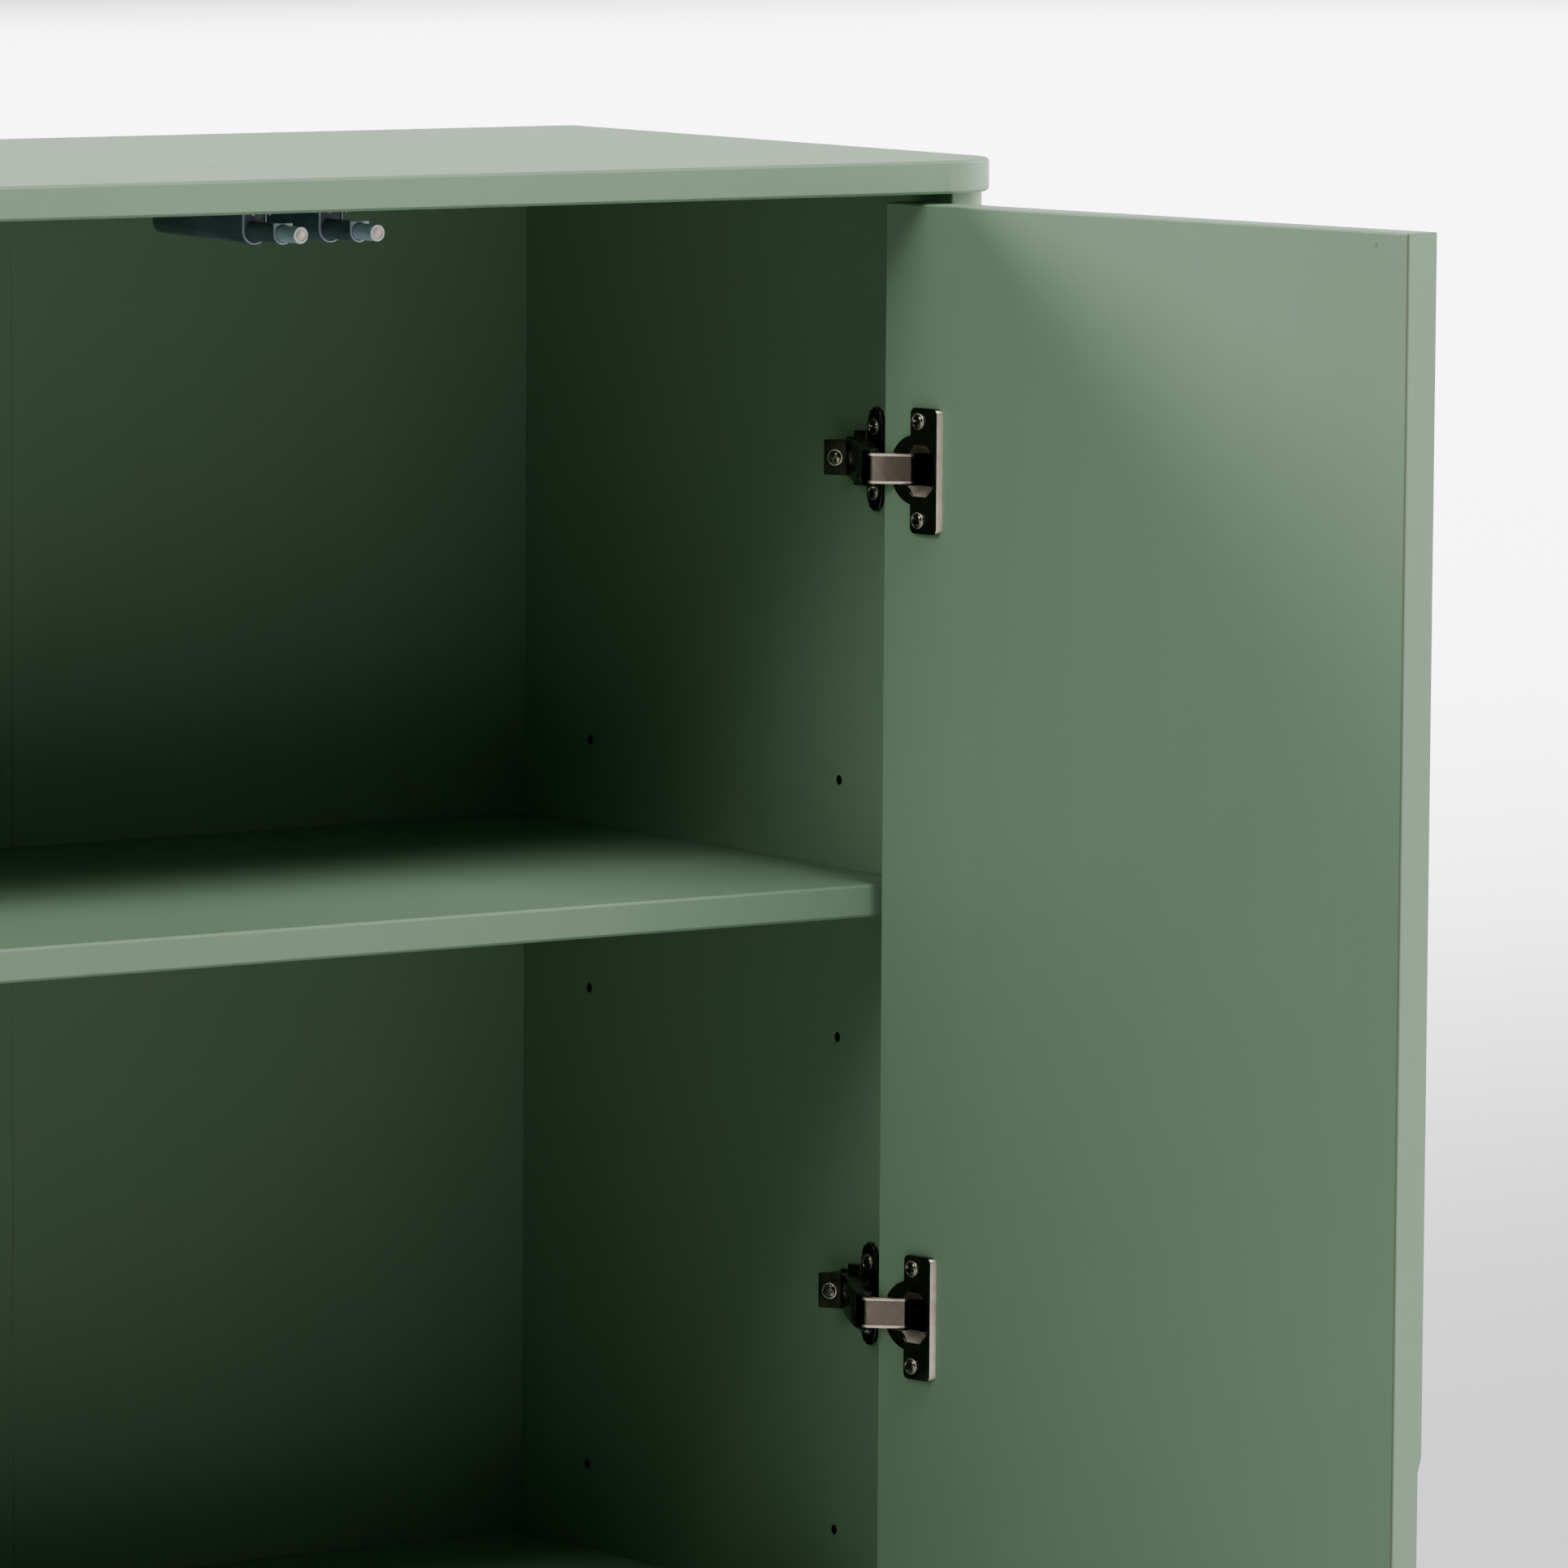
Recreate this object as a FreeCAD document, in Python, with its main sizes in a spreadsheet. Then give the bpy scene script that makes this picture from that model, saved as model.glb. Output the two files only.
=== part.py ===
import FreeCAD, Part
import os
import Sketcher

# Two-door cupboard with inset doors, concealed cup hinges and push latches.
# Row frame: millimetres, origin on the floor in the middle of the cupboard,
# +X to the right, +Y to the back, +Z up. The doors are drawn shut and then swung
# to their resting place, which is the open one.

# Driving dimensions: alias, value, what it is
SIZES = [
    # Carcass
    ("total_height", 1200.0, "floor to top surface"),
    ("top_width", 760.0, "top panel, side to side"),
    ("top_depth", 400.0, "top panel, front to back"),
    ("top_thickness", 16.0, "top panel"),
    ("top_corner", 45.0, "front corners of the top in plan"),
    ("arris", 1.2, "softened arrises of painted boards"),
    ("plinth_height", 76.0, "floor to underside of the carcass"),
    ("side_thickness", 30.0, "side panels"),
    ("side_corner", 25.0, "outer front corners of the sides"),
    ("side_overhang", 4.0, "top beyond each side"),
    ("front_overhang", 14.0, "top beyond the fronts of the sides"),
    ("bottom_thickness", 16.0, "bottom panel"),
    ("back_recess", 3.0, "back panels in from the rear"),
    ("back_thickness", 5.0, "back panels"),
    ("groove_depth", 6.0, "back panels into the sides"),
    ("groove_play", 0.5, "back panel ends short of the grooves"),
    ("batten_width", 80.0, "centre batten of the back"),
    ("batten_thickness", 8.0, "centre batten of the back"),
    ("batten_proud", 1.0, "batten face in front of the back panels"),
    ("joint_gap", 0.2, "between boards that only meet"),
    # Shelves
    ("shelf_thickness", 16.0, "both shelves"),
    ("shelf_setback", 24.0, "shelf front behind the side fronts"),
    ("shelf_gap", 0.5, "shelf end to wall"),
    ("upper_clear", 338.0, "top panel down to the upper shelf"),
    ("middle_clear", 359.5, "upper shelf down to the lower shelf"),
    ("hole_radius", 2.5, "shelf pin holes"),
    ("hole_depth", 10.0, "shelf pin holes"),
    ("hole_pitch", 64.0, "shelf pin holes, up and down"),
    ("hole_span", 224.0, "front column to rear column"),
    ("hole_rear", 61.4, "rear column in front of the back panels"),
    ("pin_drop", 4.8, "pin axis below the shelf, also its head radius"),
    ("pin_reach", 8.0, "pin head out of the wall"),
    ("pin_play", 0.05, "pin stem in its hole"),
    ("pin_short", 1.2, "pin stem short of the hole's end"),
    ("pin_blade", 3.8, "flat blade of the pin under the shelf"),
    # Plinth
    ("plinth_setback", 30.0, "plinth behind the side fronts and in from the ends"),
    ("plinth_thickness", 18.0, "plinth rails"),
    # Fixings of the carcass
    ("batten_screw_head", 3.6, "screws of the back batten"),
    ("batten_screw_pitch", 46.0, "between the batten screws"),
    # Doors
    ("door_thickness", 20.0, "doors"),
    ("hinge_gap", 3.5, "door edge to side wall"),
    ("centre_gap", 3.0, "between the shut doors"),
    ("door_top_gap", 5.0, "above the doors"),
    ("door_bottom_gap", 3.0, "under the doors"),
    ("open_angle", 100.0, "doors at rest from shut, degrees"),
    ("pivot_edge", 10.4, "stand-in axis from the door's hinge edge"),
    ("pivot_depth", 12.6, "stand-in axis behind the door's inner face"),
    ("relief_depth", 3.0, "lower field below the upper field"),
    ("relief_radius", 518.0, "arch of the raised upper field"),
    ("relief_slope", 14.0, "width of the rounded step"),
    ("strike_edge", 19.6, "latch hole from the free edge"),
    ("strike_radius", 1.2, "latch hole"),
    ("strike_depth", 9.0, "latch hole"),
    # Hinges, places on the door
    ("hinge_inset", 128.5, "end hinges from the door's top and foot"),
    ("cup_centre", 22.2, "cup axis from the hinge edge"),
    ("cup_radius", 17.0, "cup in its bore"),
    ("cup_depth", 12.8, "cup below the door's inner face"),
    ("cup_floor", 0.7, "sheet at the bottom of the cup"),
    ("cup_play", 0.05, "cup in its bore"),
    ("rim_thickness", 1.0, "round flange of the cup"),
    ("flange_near", 20.9, "flange plate from the hinge edge"),
    ("flange_width", 18.0, "flange plate along the door"),
    ("flange_height", 61.0, "flange plate up and down"),
    ("flange_thickness", 3.0, "flange plate"),
    ("flange_corner", 3.0, "flange plate corners"),
    ("cup_screw_edge", 26.4, "flange screws from the hinge edge"),
    ("cup_screw_pitch", 48.0, "flange screws, up and down"),
    ("mouth_near", 17.8, "wide mouth of the cup from the hinge edge"),
    ("mouth_far", 36.8, "wide mouth of the cup from the hinge edge"),
    ("mouth_half", 12.4, "half height of the wide mouth"),
    ("mouth_bevel", 5.0, "corners of the wide mouth"),
    ("slot_near", 5.7, "link slot of the cup from the hinge edge"),
    ("slot_half", 7.8, "half height of the link slot"),
    ("cup_pin_edge", 13.2, "cup pin from the hinge edge"),
    ("cup_pin_depth", 5.0, "cup pin below the door's inner face"),
    ("cup_pin_radius", 1.2, "cup pin"),
    # Hinges, places on the side wall
    ("arm_pin_out", 35.0, "arm pin from the wall"),
    ("arm_pin_back", 15.0, "arm pin behind the side front"),
    ("arm_pin_radius", 1.5, "arm pin"),
    ("arm_nose_radius", 3.2, "rounded nose of the arm round its pin"),
    ("arm_half_rear", 8.7, "half height of the arm at its screw"),
    ("arm_half_mid", 10.0, "half height of the arm at its crank"),
    ("arm_half_front", 9.0, "half height of the arm at its nose"),
    ("arm_half_inner", 7.6, "half height inside the arm"),
    ("arm_sheet", 1.4, "sheet of the arm"),
    ("arm_web_back", 24.5, "front edge of the arm's web behind the side front"),
    ("arm_web_out", 35.6, "front edge of the arm's web from the wall"),
    ("arm_valley_out", 9.5, "crank of the arm from the wall"),
    ("arm_valley_back", 73.5, "crank of the arm behind the side front"),
    ("arm_rear_out", 16.5, "rear edge of the arm from the wall"),
    ("arm_rear_back", 84.0, "rear edge of the arm behind the side front"),
    ("arm_leg_back", 58.0, "where the legs reach the mounting plate"),
    ("arm_screw_radius", 4.0, "head of the adjusting screw"),
    ("arm_screw_head", 1.8, "head of the adjusting screw"),
    ("link_half", 7.3, "half height of the link"),
    ("link_sheet", 1.2, "sheet of the link"),
    ("link_eye", 3.4, "link's web outside its pin line"),
    ("link_inner", 2.5, "link's cheeks inside their pin line"),
    ("link_reach", 20.0, "link from the arm pin to its tip"),
    ("link_waist", 0.2, "link's cheeks inside their pin line past the eye"),
    ("link_cheek", 12.4, "end of the cheeks from the arm pin, at the open pivot"),
    ("pivot_play", 0.05, "pins in their eyes"),
    ("plate_back", 60.6, "plate screws behind the side front"),
    ("plate_sheet", 2.5, "mounting plate"),
    ("plate_wing", 13.0, "wings of the mounting plate"),
    ("plate_height", 51.0, "mounting plate over its wings"),
    ("plate_screw_pitch", 32.0, "plate screws, up and down"),
    ("plate_front_back", 40.0, "front end of the plate behind the side front"),
    ("plate_rear_back", 85.0, "rear end of the plate behind the side front"),
    ("plate_half", 9.6, "half height of the plate's middle"),
    ("plate_key_half", 7.4, "half height of the key inside the arm"),
    ("plate_key", 3.6, "key on the plate, inside the arm"),
    ("screw_head_radius", 4.0, "hinge screw heads"),
    ("screw_head_height", 1.6, "hinge screw heads"),
    ("screw_taper", 0.7, "screw heads narrower at their faces"),
    ("screw_sides", 12.0, "flat sides of the smallest round pieces"),
    # Push latches under the top
    ("latch_offset", 21.0, "latch axis from the centre"),
    ("latch_drop", 11.5, "latch axis below the top panel"),
    ("latch_travel", 20.0, "plunger from shut to rest"),
    ("latch_play", 0.3, "plunger short of the shut door"),
    ("plunger_radius", 4.4, "plunger"),
    ("plunger_stick", 27.0, "plunger out of its tube at rest"),
    ("plunger_tail", 24.0, "plunger inside its tube at rest"),
    ("magnet_radius", 3.2, "magnet in the plunger's tip"),
    ("magnet_depth", 4.0, "magnet in the plunger's tip"),
    ("magnet_sunk", 0.3, "magnet face below the tip's ring"),
    ("tube_radius", 5.6, "latch tube"),
    ("tube_bore", 4.6, "bore of the latch tube"),
    ("tube_length", 92.0, "latch tube"),
    ("tube_stop", 3.0, "closed rear end of the tube"),
    ("cradle_start", 57.0, "cradle front behind the plunger's tip"),
    ("cradle_length", 65.0, "latch cradle"),
    ("cradle_half", 7.6, "half width of the cradle at its front"),
    ("cradle_rear_depth", 9.5, "cradle below the top at its rear"),
    ("cradle_lip", 1.0, "raised lip at the cradle's front"),
    ("cradle_tab", 9.0, "screw tab in front of the cradle"),
    ("cradle_tab_height", 3.0, "screw tab in front of the cradle"),
    ("latch_screw_head", 2.7, "latch screw heads"),
    # Making
    ("overrun", 2.0, "cutters past the faces that they cut"),
]

os.makedirs("parts", exist_ok=True)
doc = FreeCAD.newDocument("Cupboard")
sheet = doc.addObject("Spreadsheet::Sheet", "Sizes")
for row, (alias, value, note) in enumerate(SIZES, start=1):
    sheet.set("A%d" % row, alias)
    sheet.set("B%d" % row, str(value))
    sheet.set("C%d" % row, note)
    sheet.setAlias("B%d" % row, alias)
doc.recompute()

V = FreeCAD.Vector
UP = V(0, 0, 1)
RIGHT = V(1, 0, 0)
BACKWARD = V(0, 1, 0)
SIDES = (("left", -1), ("right", 1))


def S(text):
    """Turns {alias} marks into cell references."""
    return text.replace("{", "Sizes.").replace("}", "")


def val(text):
    """Value of an expression in cell names."""
    found = sheet.evalExpression(S(text))
    return float(getattr(found, "Value", found))


# Places that several pieces share, in cell names
HALF_IN = "({top_width} / 2 - {side_overhang} - {side_thickness})"
HALF_OUT = "({top_width} / 2 - {side_overhang})"
FRONT = "(-{top_depth} / 2 + {front_overhang})"
REAR = "({top_depth} / 2)"
UNDER_TOP = "({total_height} - {top_thickness})"
FLOOR_TOP = "({plinth_height} + {bottom_thickness})"
BACK_FACE = "(" + REAR + " - {back_recess} - {back_thickness})"
BATTEN_FACE = "(" + BACK_FACE + " - {batten_proud})"
INNER_FACE = "(" + FRONT + " + {door_thickness})"
DOOR_TOP = "(" + UNDER_TOP + " - {door_top_gap})"
DOOR_LOW = "(" + FLOOR_TOP + " + {door_bottom_gap})"
DOOR_EDGE = "(" + HALF_IN + " - {hinge_gap})"
HOLE_REAR_Y = "(" + BACK_FACE + " - {hole_rear})"
HOLE_FRONT_Y = "(" + HOLE_REAR_Y + " - {hole_span})"
UPPER_SHELF = "(" + UNDER_TOP + " - {upper_clear})"
LOWER_SHELF = "(" + UPPER_SHELF + " - {shelf_thickness} - {middle_clear})"
SHELF_TOPS = (("upper", UPPER_SHELF), ("lower", LOWER_SHELF))
PARTS = []


def keep(node, label):
    """Names a sub-part and lists it for export."""
    node.Label = label
    PARTS.append(node)
    return node


# Helpers for sketches and features
def plane(body, role):
    """One of a body's own origin planes."""
    for feature in body.Origin.OriginFeatures:
        if feature.Role == role:
            return feature
    raise ValueError(role)


def new_body(label):
    return keep(doc.addObject("PartDesign::Body", "Body_" + label), label)


def new_sketch(body, role, name, offset="0"):
    """A sketch on an origin plane, moved along the plane's normal."""
    sketch = body.newObject("Sketcher::SketchObject", name)
    sketch.AttachmentSupport = [(plane(body, role), "")]
    sketch.MapMode = "FlatFace"
    sketch.setExpression("AttachmentOffset.Base.z", S(offset))
    return sketch


def lock(sketch, geometry, vertex, place):
    """Ties a sketch point to two expressions."""
    for kind, text in zip(("DistanceX", "DistanceY"), place):
        index = sketch.addConstraint(Sketcher.Constraint(kind, geometry, vertex, val(text)))
        sketch.setExpression("Constraints[%d]" % index, S(text))


def outline(sketch, corners):
    """A closed outline of straight lines through corners given as expressions."""
    points = [V(val(x), val(y), 0) for x, y in corners]
    count = len(points)
    first = sketch.GeometryCount
    for index in range(count):
        sketch.addGeometry(Part.LineSegment(points[index], points[(index + 1) % count]), False)
    for index in range(count):
        following = first + (index + 1) % count
        sketch.addConstraint(Sketcher.Constraint("Coincident", first + index, 2, following, 1))
    for index, corner in enumerate(corners):
        lock(sketch, first + index, 1, corner)


def rectangle(sketch, low, high):
    outline(sketch, [low, (high[0], low[1]), high, (low[0], high[1])])


def round_hole(sketch, centre, radius):
    middle = V(val(centre[0]), val(centre[1]), 0)
    index = sketch.addGeometry(Part.Circle(middle, UP, val(radius)), False)
    lock(sketch, index, 3, centre)
    mark = sketch.addConstraint(Sketcher.Constraint("Radius", index, val(radius)))
    sketch.setExpression("Constraints[%d]" % mark, S(radius))


def pad(body, sketch, length, name):
    feature = body.newObject("PartDesign::Pad", name)
    feature.Profile = sketch
    feature.setExpression("Length", S(length))
    doc.recompute()
    return feature


def pocket(body, sketch, depth, name):
    """Cuts a sketch into its body, on whichever side of the sketch the board is."""
    before = body.Shape.Volume
    feature = body.newObject("PartDesign::Pocket", name)
    feature.Profile = sketch
    feature.setExpression("Length", S(depth))
    doc.recompute()
    chip = val("{overrun}")
    if before - body.Shape.Volume < chip:
        feature.Reversed = True
        doc.recompute()
    if before - body.Shape.Volume < chip:
        raise ValueError(name + " cuts nothing")
    return feature


def edges_of(shape, test):
    return ["Edge%d" % (i + 1) for i, edge in enumerate(shape.Edges) if test(edge)]


def soften(body, test, size, name, kind="Chamfer"):
    """Chamfers or rounds the edges of a body that pass the test."""
    base = body.Tip
    feature = body.newObject("PartDesign::" + kind, name)
    feature.Base = (base, edges_of(base.Shape, test))
    feature.setExpression("Size" if kind == "Chamfer" else "Radius", S(size))
    doc.recompute()
    return feature


def upright(edge):
    return edge.BoundBox.ZLength > edge.BoundBox.XLength + edge.BoundBox.YLength


def board(label, low, high):
    """A plain board as a padded rectangle between two corners."""
    body = new_body(label)
    sketch = new_sketch(body, "XY_Plane", label + "_plan", low[2])
    rectangle(sketch, low[:2], high[:2])
    pad(body, sketch, "(%s) - (%s)" % (high[2], low[2]), label + "_board")
    return body


def group(label, shapes):
    """Several separate solids of one kind as one sub-part."""
    item = doc.addObject("Part::Feature", "Group_" + label)
    item.Shape = Part.makeCompound(shapes) if len(shapes) > 1 else shapes[0]
    return keep(item, label)


def flat(corners):
    """A plane face on an outline of straight lines."""
    return Part.Face(Part.makePolygon(corners + [corners[0]]))


def prism(points, low, high):
    """A straight-sided solid on an outline in plan."""
    return flat([V(x, y, low) for x, y in points]).extrude(UP * (high - low))


def ring(radius, centre, axis):
    """Corners of a regular outline round a centre, across the axis."""
    spoke = V(radius, 0, 0)
    sides = int(val("{screw_sides}"))
    turned = [FreeCAD.Rotation(UP, 360.0 * k / sides).multVec(spoke) for k in range(sides)]
    place = FreeCAD.Placement(centre, FreeCAD.Rotation(UP, axis))
    return [place.multVec(point) for point in turned]


def bar(radius, start, end):
    """A thin pin from one point to another."""
    return flat(ring(radius, start, end - start)).extrude(end - start)


# Carcass boards
def make_top():
    body = board("top_panel", ("-{top_width} / 2", "-{top_depth} / 2", UNDER_TOP),
                 ("{top_width} / 2", "{top_depth} / 2", "{total_height}"))
    soften(body, lambda e: upright(e) and e.BoundBox.YMax < 0, "{top_corner}", "top_corners", "Fillet")
    face_edges = lambda e: not upright(e) and e.BoundBox.YMin < val(REAR) - val("{overrun}")
    soften(body, face_edges, "{arris}", "top_arrises")


def make_side(name, side):
    """A side wall with its shelf holes and the groove of the back."""
    inner = "%d * %s" % (side, HALF_IN)
    outer = "%d * %s" % (side, HALF_OUT)
    low, high = (inner, outer) if side > 0 else (outer, inner)
    body = board(name + "_side_panel", (low, FRONT, "{plinth_height}"), (high, REAR, UNDER_TOP))
    beyond = val("{side_thickness}") / 2 + val(HALF_IN)
    outer_front = lambda e: upright(e) and e.BoundBox.YMax < 0 and side * e.BoundBox.Center.x > beyond
    soften(body, outer_front, "{side_corner}", name + "_side_corner", "Fillet")
    inner_front = lambda e: upright(e) and e.BoundBox.YMax < val(FRONT) + val("{arris}") and (
        side * e.BoundBox.Center.x < beyond)
    soften(body, inner_front, "{arris} / 2", name + "_side_arris")
    holes = new_sketch(body, "YZ_Plane", name + "_shelf_hole_places", inner)
    for _, top in SHELF_TOPS:
        for step in (-1, 0, 1):
            z = "%s - {shelf_thickness} - {pin_drop} + %d * {hole_pitch}" % (top, step)
            for y in (HOLE_FRONT_Y, HOLE_REAR_Y):
                round_hole(holes, (y, z), "{hole_radius}")
    pocket(body, holes, "{hole_depth}", name + "_shelf_holes")
    groove = new_sketch(body, "YZ_Plane", name + "_back_groove_place", inner)
    rectangle(groove, (BACK_FACE, "{plinth_height}"), (BACK_FACE + " + {back_thickness}", UNDER_TOP))
    pocket(body, groove, "{groove_depth}", name + "_back_groove")


def make_bottom():
    body = board("bottom_panel", ("-" + HALF_IN, FRONT, "{plinth_height}"),
                 (HALF_IN, BATTEN_FACE, FLOOR_TOP))
    front_edges = lambda e: e.BoundBox.YMax < val(FRONT) + val("{arris}") and not upright(e)
    soften(body, front_edges, "{arris} / 2", "bottom_arrises")


def make_shelf(name, top):
    front = FRONT + " + {shelf_setback}"
    body = board(name + "_shelf", ("-" + HALF_IN + " + {shelf_gap}", front, top + " - {shelf_thickness}"),
                 (HALF_IN + " - {shelf_gap}", BATTEN_FACE + " - {joint_gap}", top))
    limit = val(FRONT) + val("{shelf_setback}") + val("{arris}")
    soften(body, lambda e: e.BoundBox.YMax < limit and not upright(e), "{arris}", name + "_shelf_arrises")


FLOOR_MID = "({plinth_height} + {bottom_thickness} / 2)"
HINGE_ROWS = ("(" + DOOR_TOP + " - {hinge_inset})", "(" + DOOR_TOP + " + " + DOOR_LOW + ") / 2",
              "(" + DOOR_LOW + " + {hinge_inset})")
LATCH_TIP = "(" + INNER_FACE + " - {latch_travel} + {latch_play})"
CRADLE_FRONT = "(" + LATCH_TIP + " + {cradle_start})"
LATCH_SCREW_ROWS = (CRADLE_FRONT + " - {cradle_tab} / 2",
                    CRADLE_FRONT + " + {cradle_length} + {cradle_tab} / 2")

make_top()
make_bottom()
for name, side in SIDES:
    make_side(name, side)
for name, top in SHELF_TOPS:
    make_shelf(name, top)


# Back: two thin panels in grooves and the batten between them
def make_back():
    low, high = "{plinth_height}", UNDER_TOP
    front = BACK_FACE
    rear = "(" + BACK_FACE + " + {back_thickness})"
    wide = "(" + HALF_IN + " + {groove_depth} - {groove_play})"
    board("back_panel_left", ("-" + wide, front, low), ("-{batten_width} / 2", rear, high))
    board("back_panel_right", ("{batten_width} / 2", front, low), (wide, rear, high))
    board("back_batten", ("-{batten_width} / 2", BATTEN_FACE, low),
          ("{batten_width} / 2", BATTEN_FACE + " + {batten_thickness}", high))


make_back()


# Plinth: four rails in a frame and one across the middle
def make_plinth():
    out = "(" + HALF_OUT + " - {plinth_setback})"
    front = "(" + FRONT + " + {plinth_setback})"
    rear = BATTEN_FACE
    deep = "{plinth_thickness}"
    board("plinth_front_rail", ("-" + out, front, "0"), (out, front + " + " + deep, "{plinth_height}"))
    board("plinth_back_rail", ("-" + out, rear + " - " + deep, "0"), (out, rear, "{plinth_height}"))
    inside = (front + " + " + deep, rear + " - " + deep)
    for name, low, high in (("left", "-" + out, "-" + out + " + " + deep),
                            ("right", out + " - " + deep, out),
                            ("centre", "-" + deep + " / 2", deep + " / 2")):
        board("plinth_%s_rail" % name, (low, inside[0], "0"), (high, inside[1], "{plinth_height}"))


make_plinth()


# Shelf pins: a stem and a blade up to the shelf
def shelf_pin(side, y, z):
    wall = side * val(HALF_IN)
    into = V(wall + side * (val("{hole_depth}") - val("{pin_short}")), y, z)
    tip = V(wall - side * val("{pin_reach}"), y, z)
    stem = bar(val("{hole_radius}") - val("{pin_play}"), into, tip)
    blade_size = (val("{pin_reach}"), val("{pin_blade}"), val("{pin_drop}"))
    blade_at = V(min(wall, tip.x), y - blade_size[1] / 2, z)
    blade = Part.makeBox(blade_size[0], blade_size[1], blade_size[2], blade_at)
    return stem.fuse(blade).removeSplitter()


for name, top in SHELF_TOPS:
    height = val(top + " - {shelf_thickness} - {pin_drop}")
    places = [(side, val(y)) for _, side in SIDES for y in (HOLE_FRONT_Y, HOLE_REAR_Y)]
    group(name + "_shelf_pins", [shelf_pin(side, y, height) for side, y in places])


# Screw heads
def screw_head(seat, out, radius, height):
    """A pan head whose underside sits on seat; out is the way it faces."""
    out = V(out).normalize()
    base = ring(radius, seat, out)
    crown = ring(radius - val("{screw_taper}"), seat + out * height, out)
    sides = [flat([base[k - 1], base[k], crown[k], crown[k - 1]]) for k in range(len(base))]
    return Part.Solid(Part.Shell(sides + [flat(base), flat(crown)]))


def hinge_screw(seat, out):
    return screw_head(seat, out, val("{screw_head_radius}"), val("{screw_head_height}"))


# Doors, drawn shut
def make_door(name, side):
    edge = "%d * %s" % (side, DOOR_EDGE)
    free = "%d * {centre_gap} / 2" % side
    low, high = (free, edge) if side > 0 else (edge, free)
    body = board(name + "_door", (low, FRONT, DOOR_LOW), (high, INNER_FACE, DOOR_TOP))
    rim = lambda e: e.BoundBox.YLength < val("{arris}")
    soften(body, rim, "{arris} / 2", name + "_door_arrises")
    cut = new_sketch(body, "YZ_Plane", name + "_door_step")
    cut.setExpression("AttachmentOffset.Base.y", S(DOOR_LOW))
    face = FRONT
    floor = FRONT + " + {relief_depth}"
    inner = "{relief_radius} - {relief_slope}"
    corners = [(face + " - {overrun}", "0"), (face + " - {overrun}", "{relief_radius}"),
               (face, "{relief_radius}"), (floor, inner), (floor, "0")]
    points = [V(val(x), val(y), 0) for x, y in corners]
    bend = val("({relief_slope} ^ 2 + {relief_depth} ^ 2) / (2 * {relief_depth})")
    centre = V(points[2].x + bend, points[2].y, 0)
    middle = (points[2] + points[3]) * 0.5 - centre
    middle = centre + middle.normalize() * bend
    cut.addGeometry(Part.LineSegment(points[0], points[1]), False)
    cut.addGeometry(Part.LineSegment(points[1], points[2]), False)
    cut.addGeometry(Part.Arc(points[2], middle, points[3]), False)
    cut.addGeometry(Part.LineSegment(points[3], points[4]), False)
    cut.addGeometry(Part.LineSegment(points[4], points[0]), False)
    arc = cut.Geometry[2]
    forward = (arc.StartPoint - points[2]).Length < (arc.EndPoint - points[2]).Length
    first, last = (1, 2) if forward else (2, 1)
    for joined in ((0, 2, 1, 1), (1, 2, 2, first), (2, last, 3, 1), (3, 2, 4, 1), (4, 2, 0, 1)):
        cut.addConstraint(Sketcher.Constraint("Coincident", *joined))
    for geometry, corner in ((0, 0), (1, 1), (3, 3), (4, 4)):
        lock(cut, geometry, 1, corners[corner])
    lock(cut, 1, 2, corners[2])
    mark = cut.addConstraint(Sketcher.Constraint("Radius", 2, bend))
    cut.setExpression("Constraints[%d]" % mark,
                      S("({relief_slope} ^ 2 + {relief_depth} ^ 2) / (2 * {relief_depth})"))
    doc.recompute()
    before = body.Shape.Volume
    groove = body.newObject("PartDesign::Groove", name + "_door_relief")
    groove.Profile = cut
    groove.ReferenceAxis = (cut, ["H_Axis"])
    groove.Angle = 360.0
    doc.recompute()
    if before - body.Shape.Volume < val("{overrun}"):
        raise ValueError("the door's step cuts nothing")
    bores = new_sketch(body, "XZ_Plane", name + "_cup_places", "-(" + INNER_FACE + ")")
    for z in HINGE_ROWS:
        round_hole(bores, ("%d * (%s - {cup_centre})" % (side, DOOR_EDGE), z), "{cup_radius} + {cup_play}")
    pocket(body, bores, "{cup_depth}", name + "_cup_bores")
    strike = new_sketch(body, "XZ_Plane", name + "_strike_place", "-(" + INNER_FACE + ")")
    place = ("%d * ({centre_gap} / 2 + {strike_edge})" % side, UNDER_TOP + " - {latch_drop}")
    round_hole(strike, place, "{strike_radius}")
    pocket(body, strike, "{strike_depth}", name + "_strike_hole")
    return body


def swing(side):
    """From shut to the resting place, about the stand-in axis of the hinges."""
    axis = V(side * (val(DOOR_EDGE) - val("{pivot_edge}")), val(INNER_FACE) - val("{pivot_depth}"), 0)
    turn = FreeCAD.Rotation(UP, side * val("{open_angle}"))
    return FreeCAD.Placement(V(), turn, axis)


def swung(label, side, shapes):
    """A group on a door, drawn shut and carried to the resting place."""
    item = group(label, shapes)
    item.Placement = swing(side)
    return item


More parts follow.
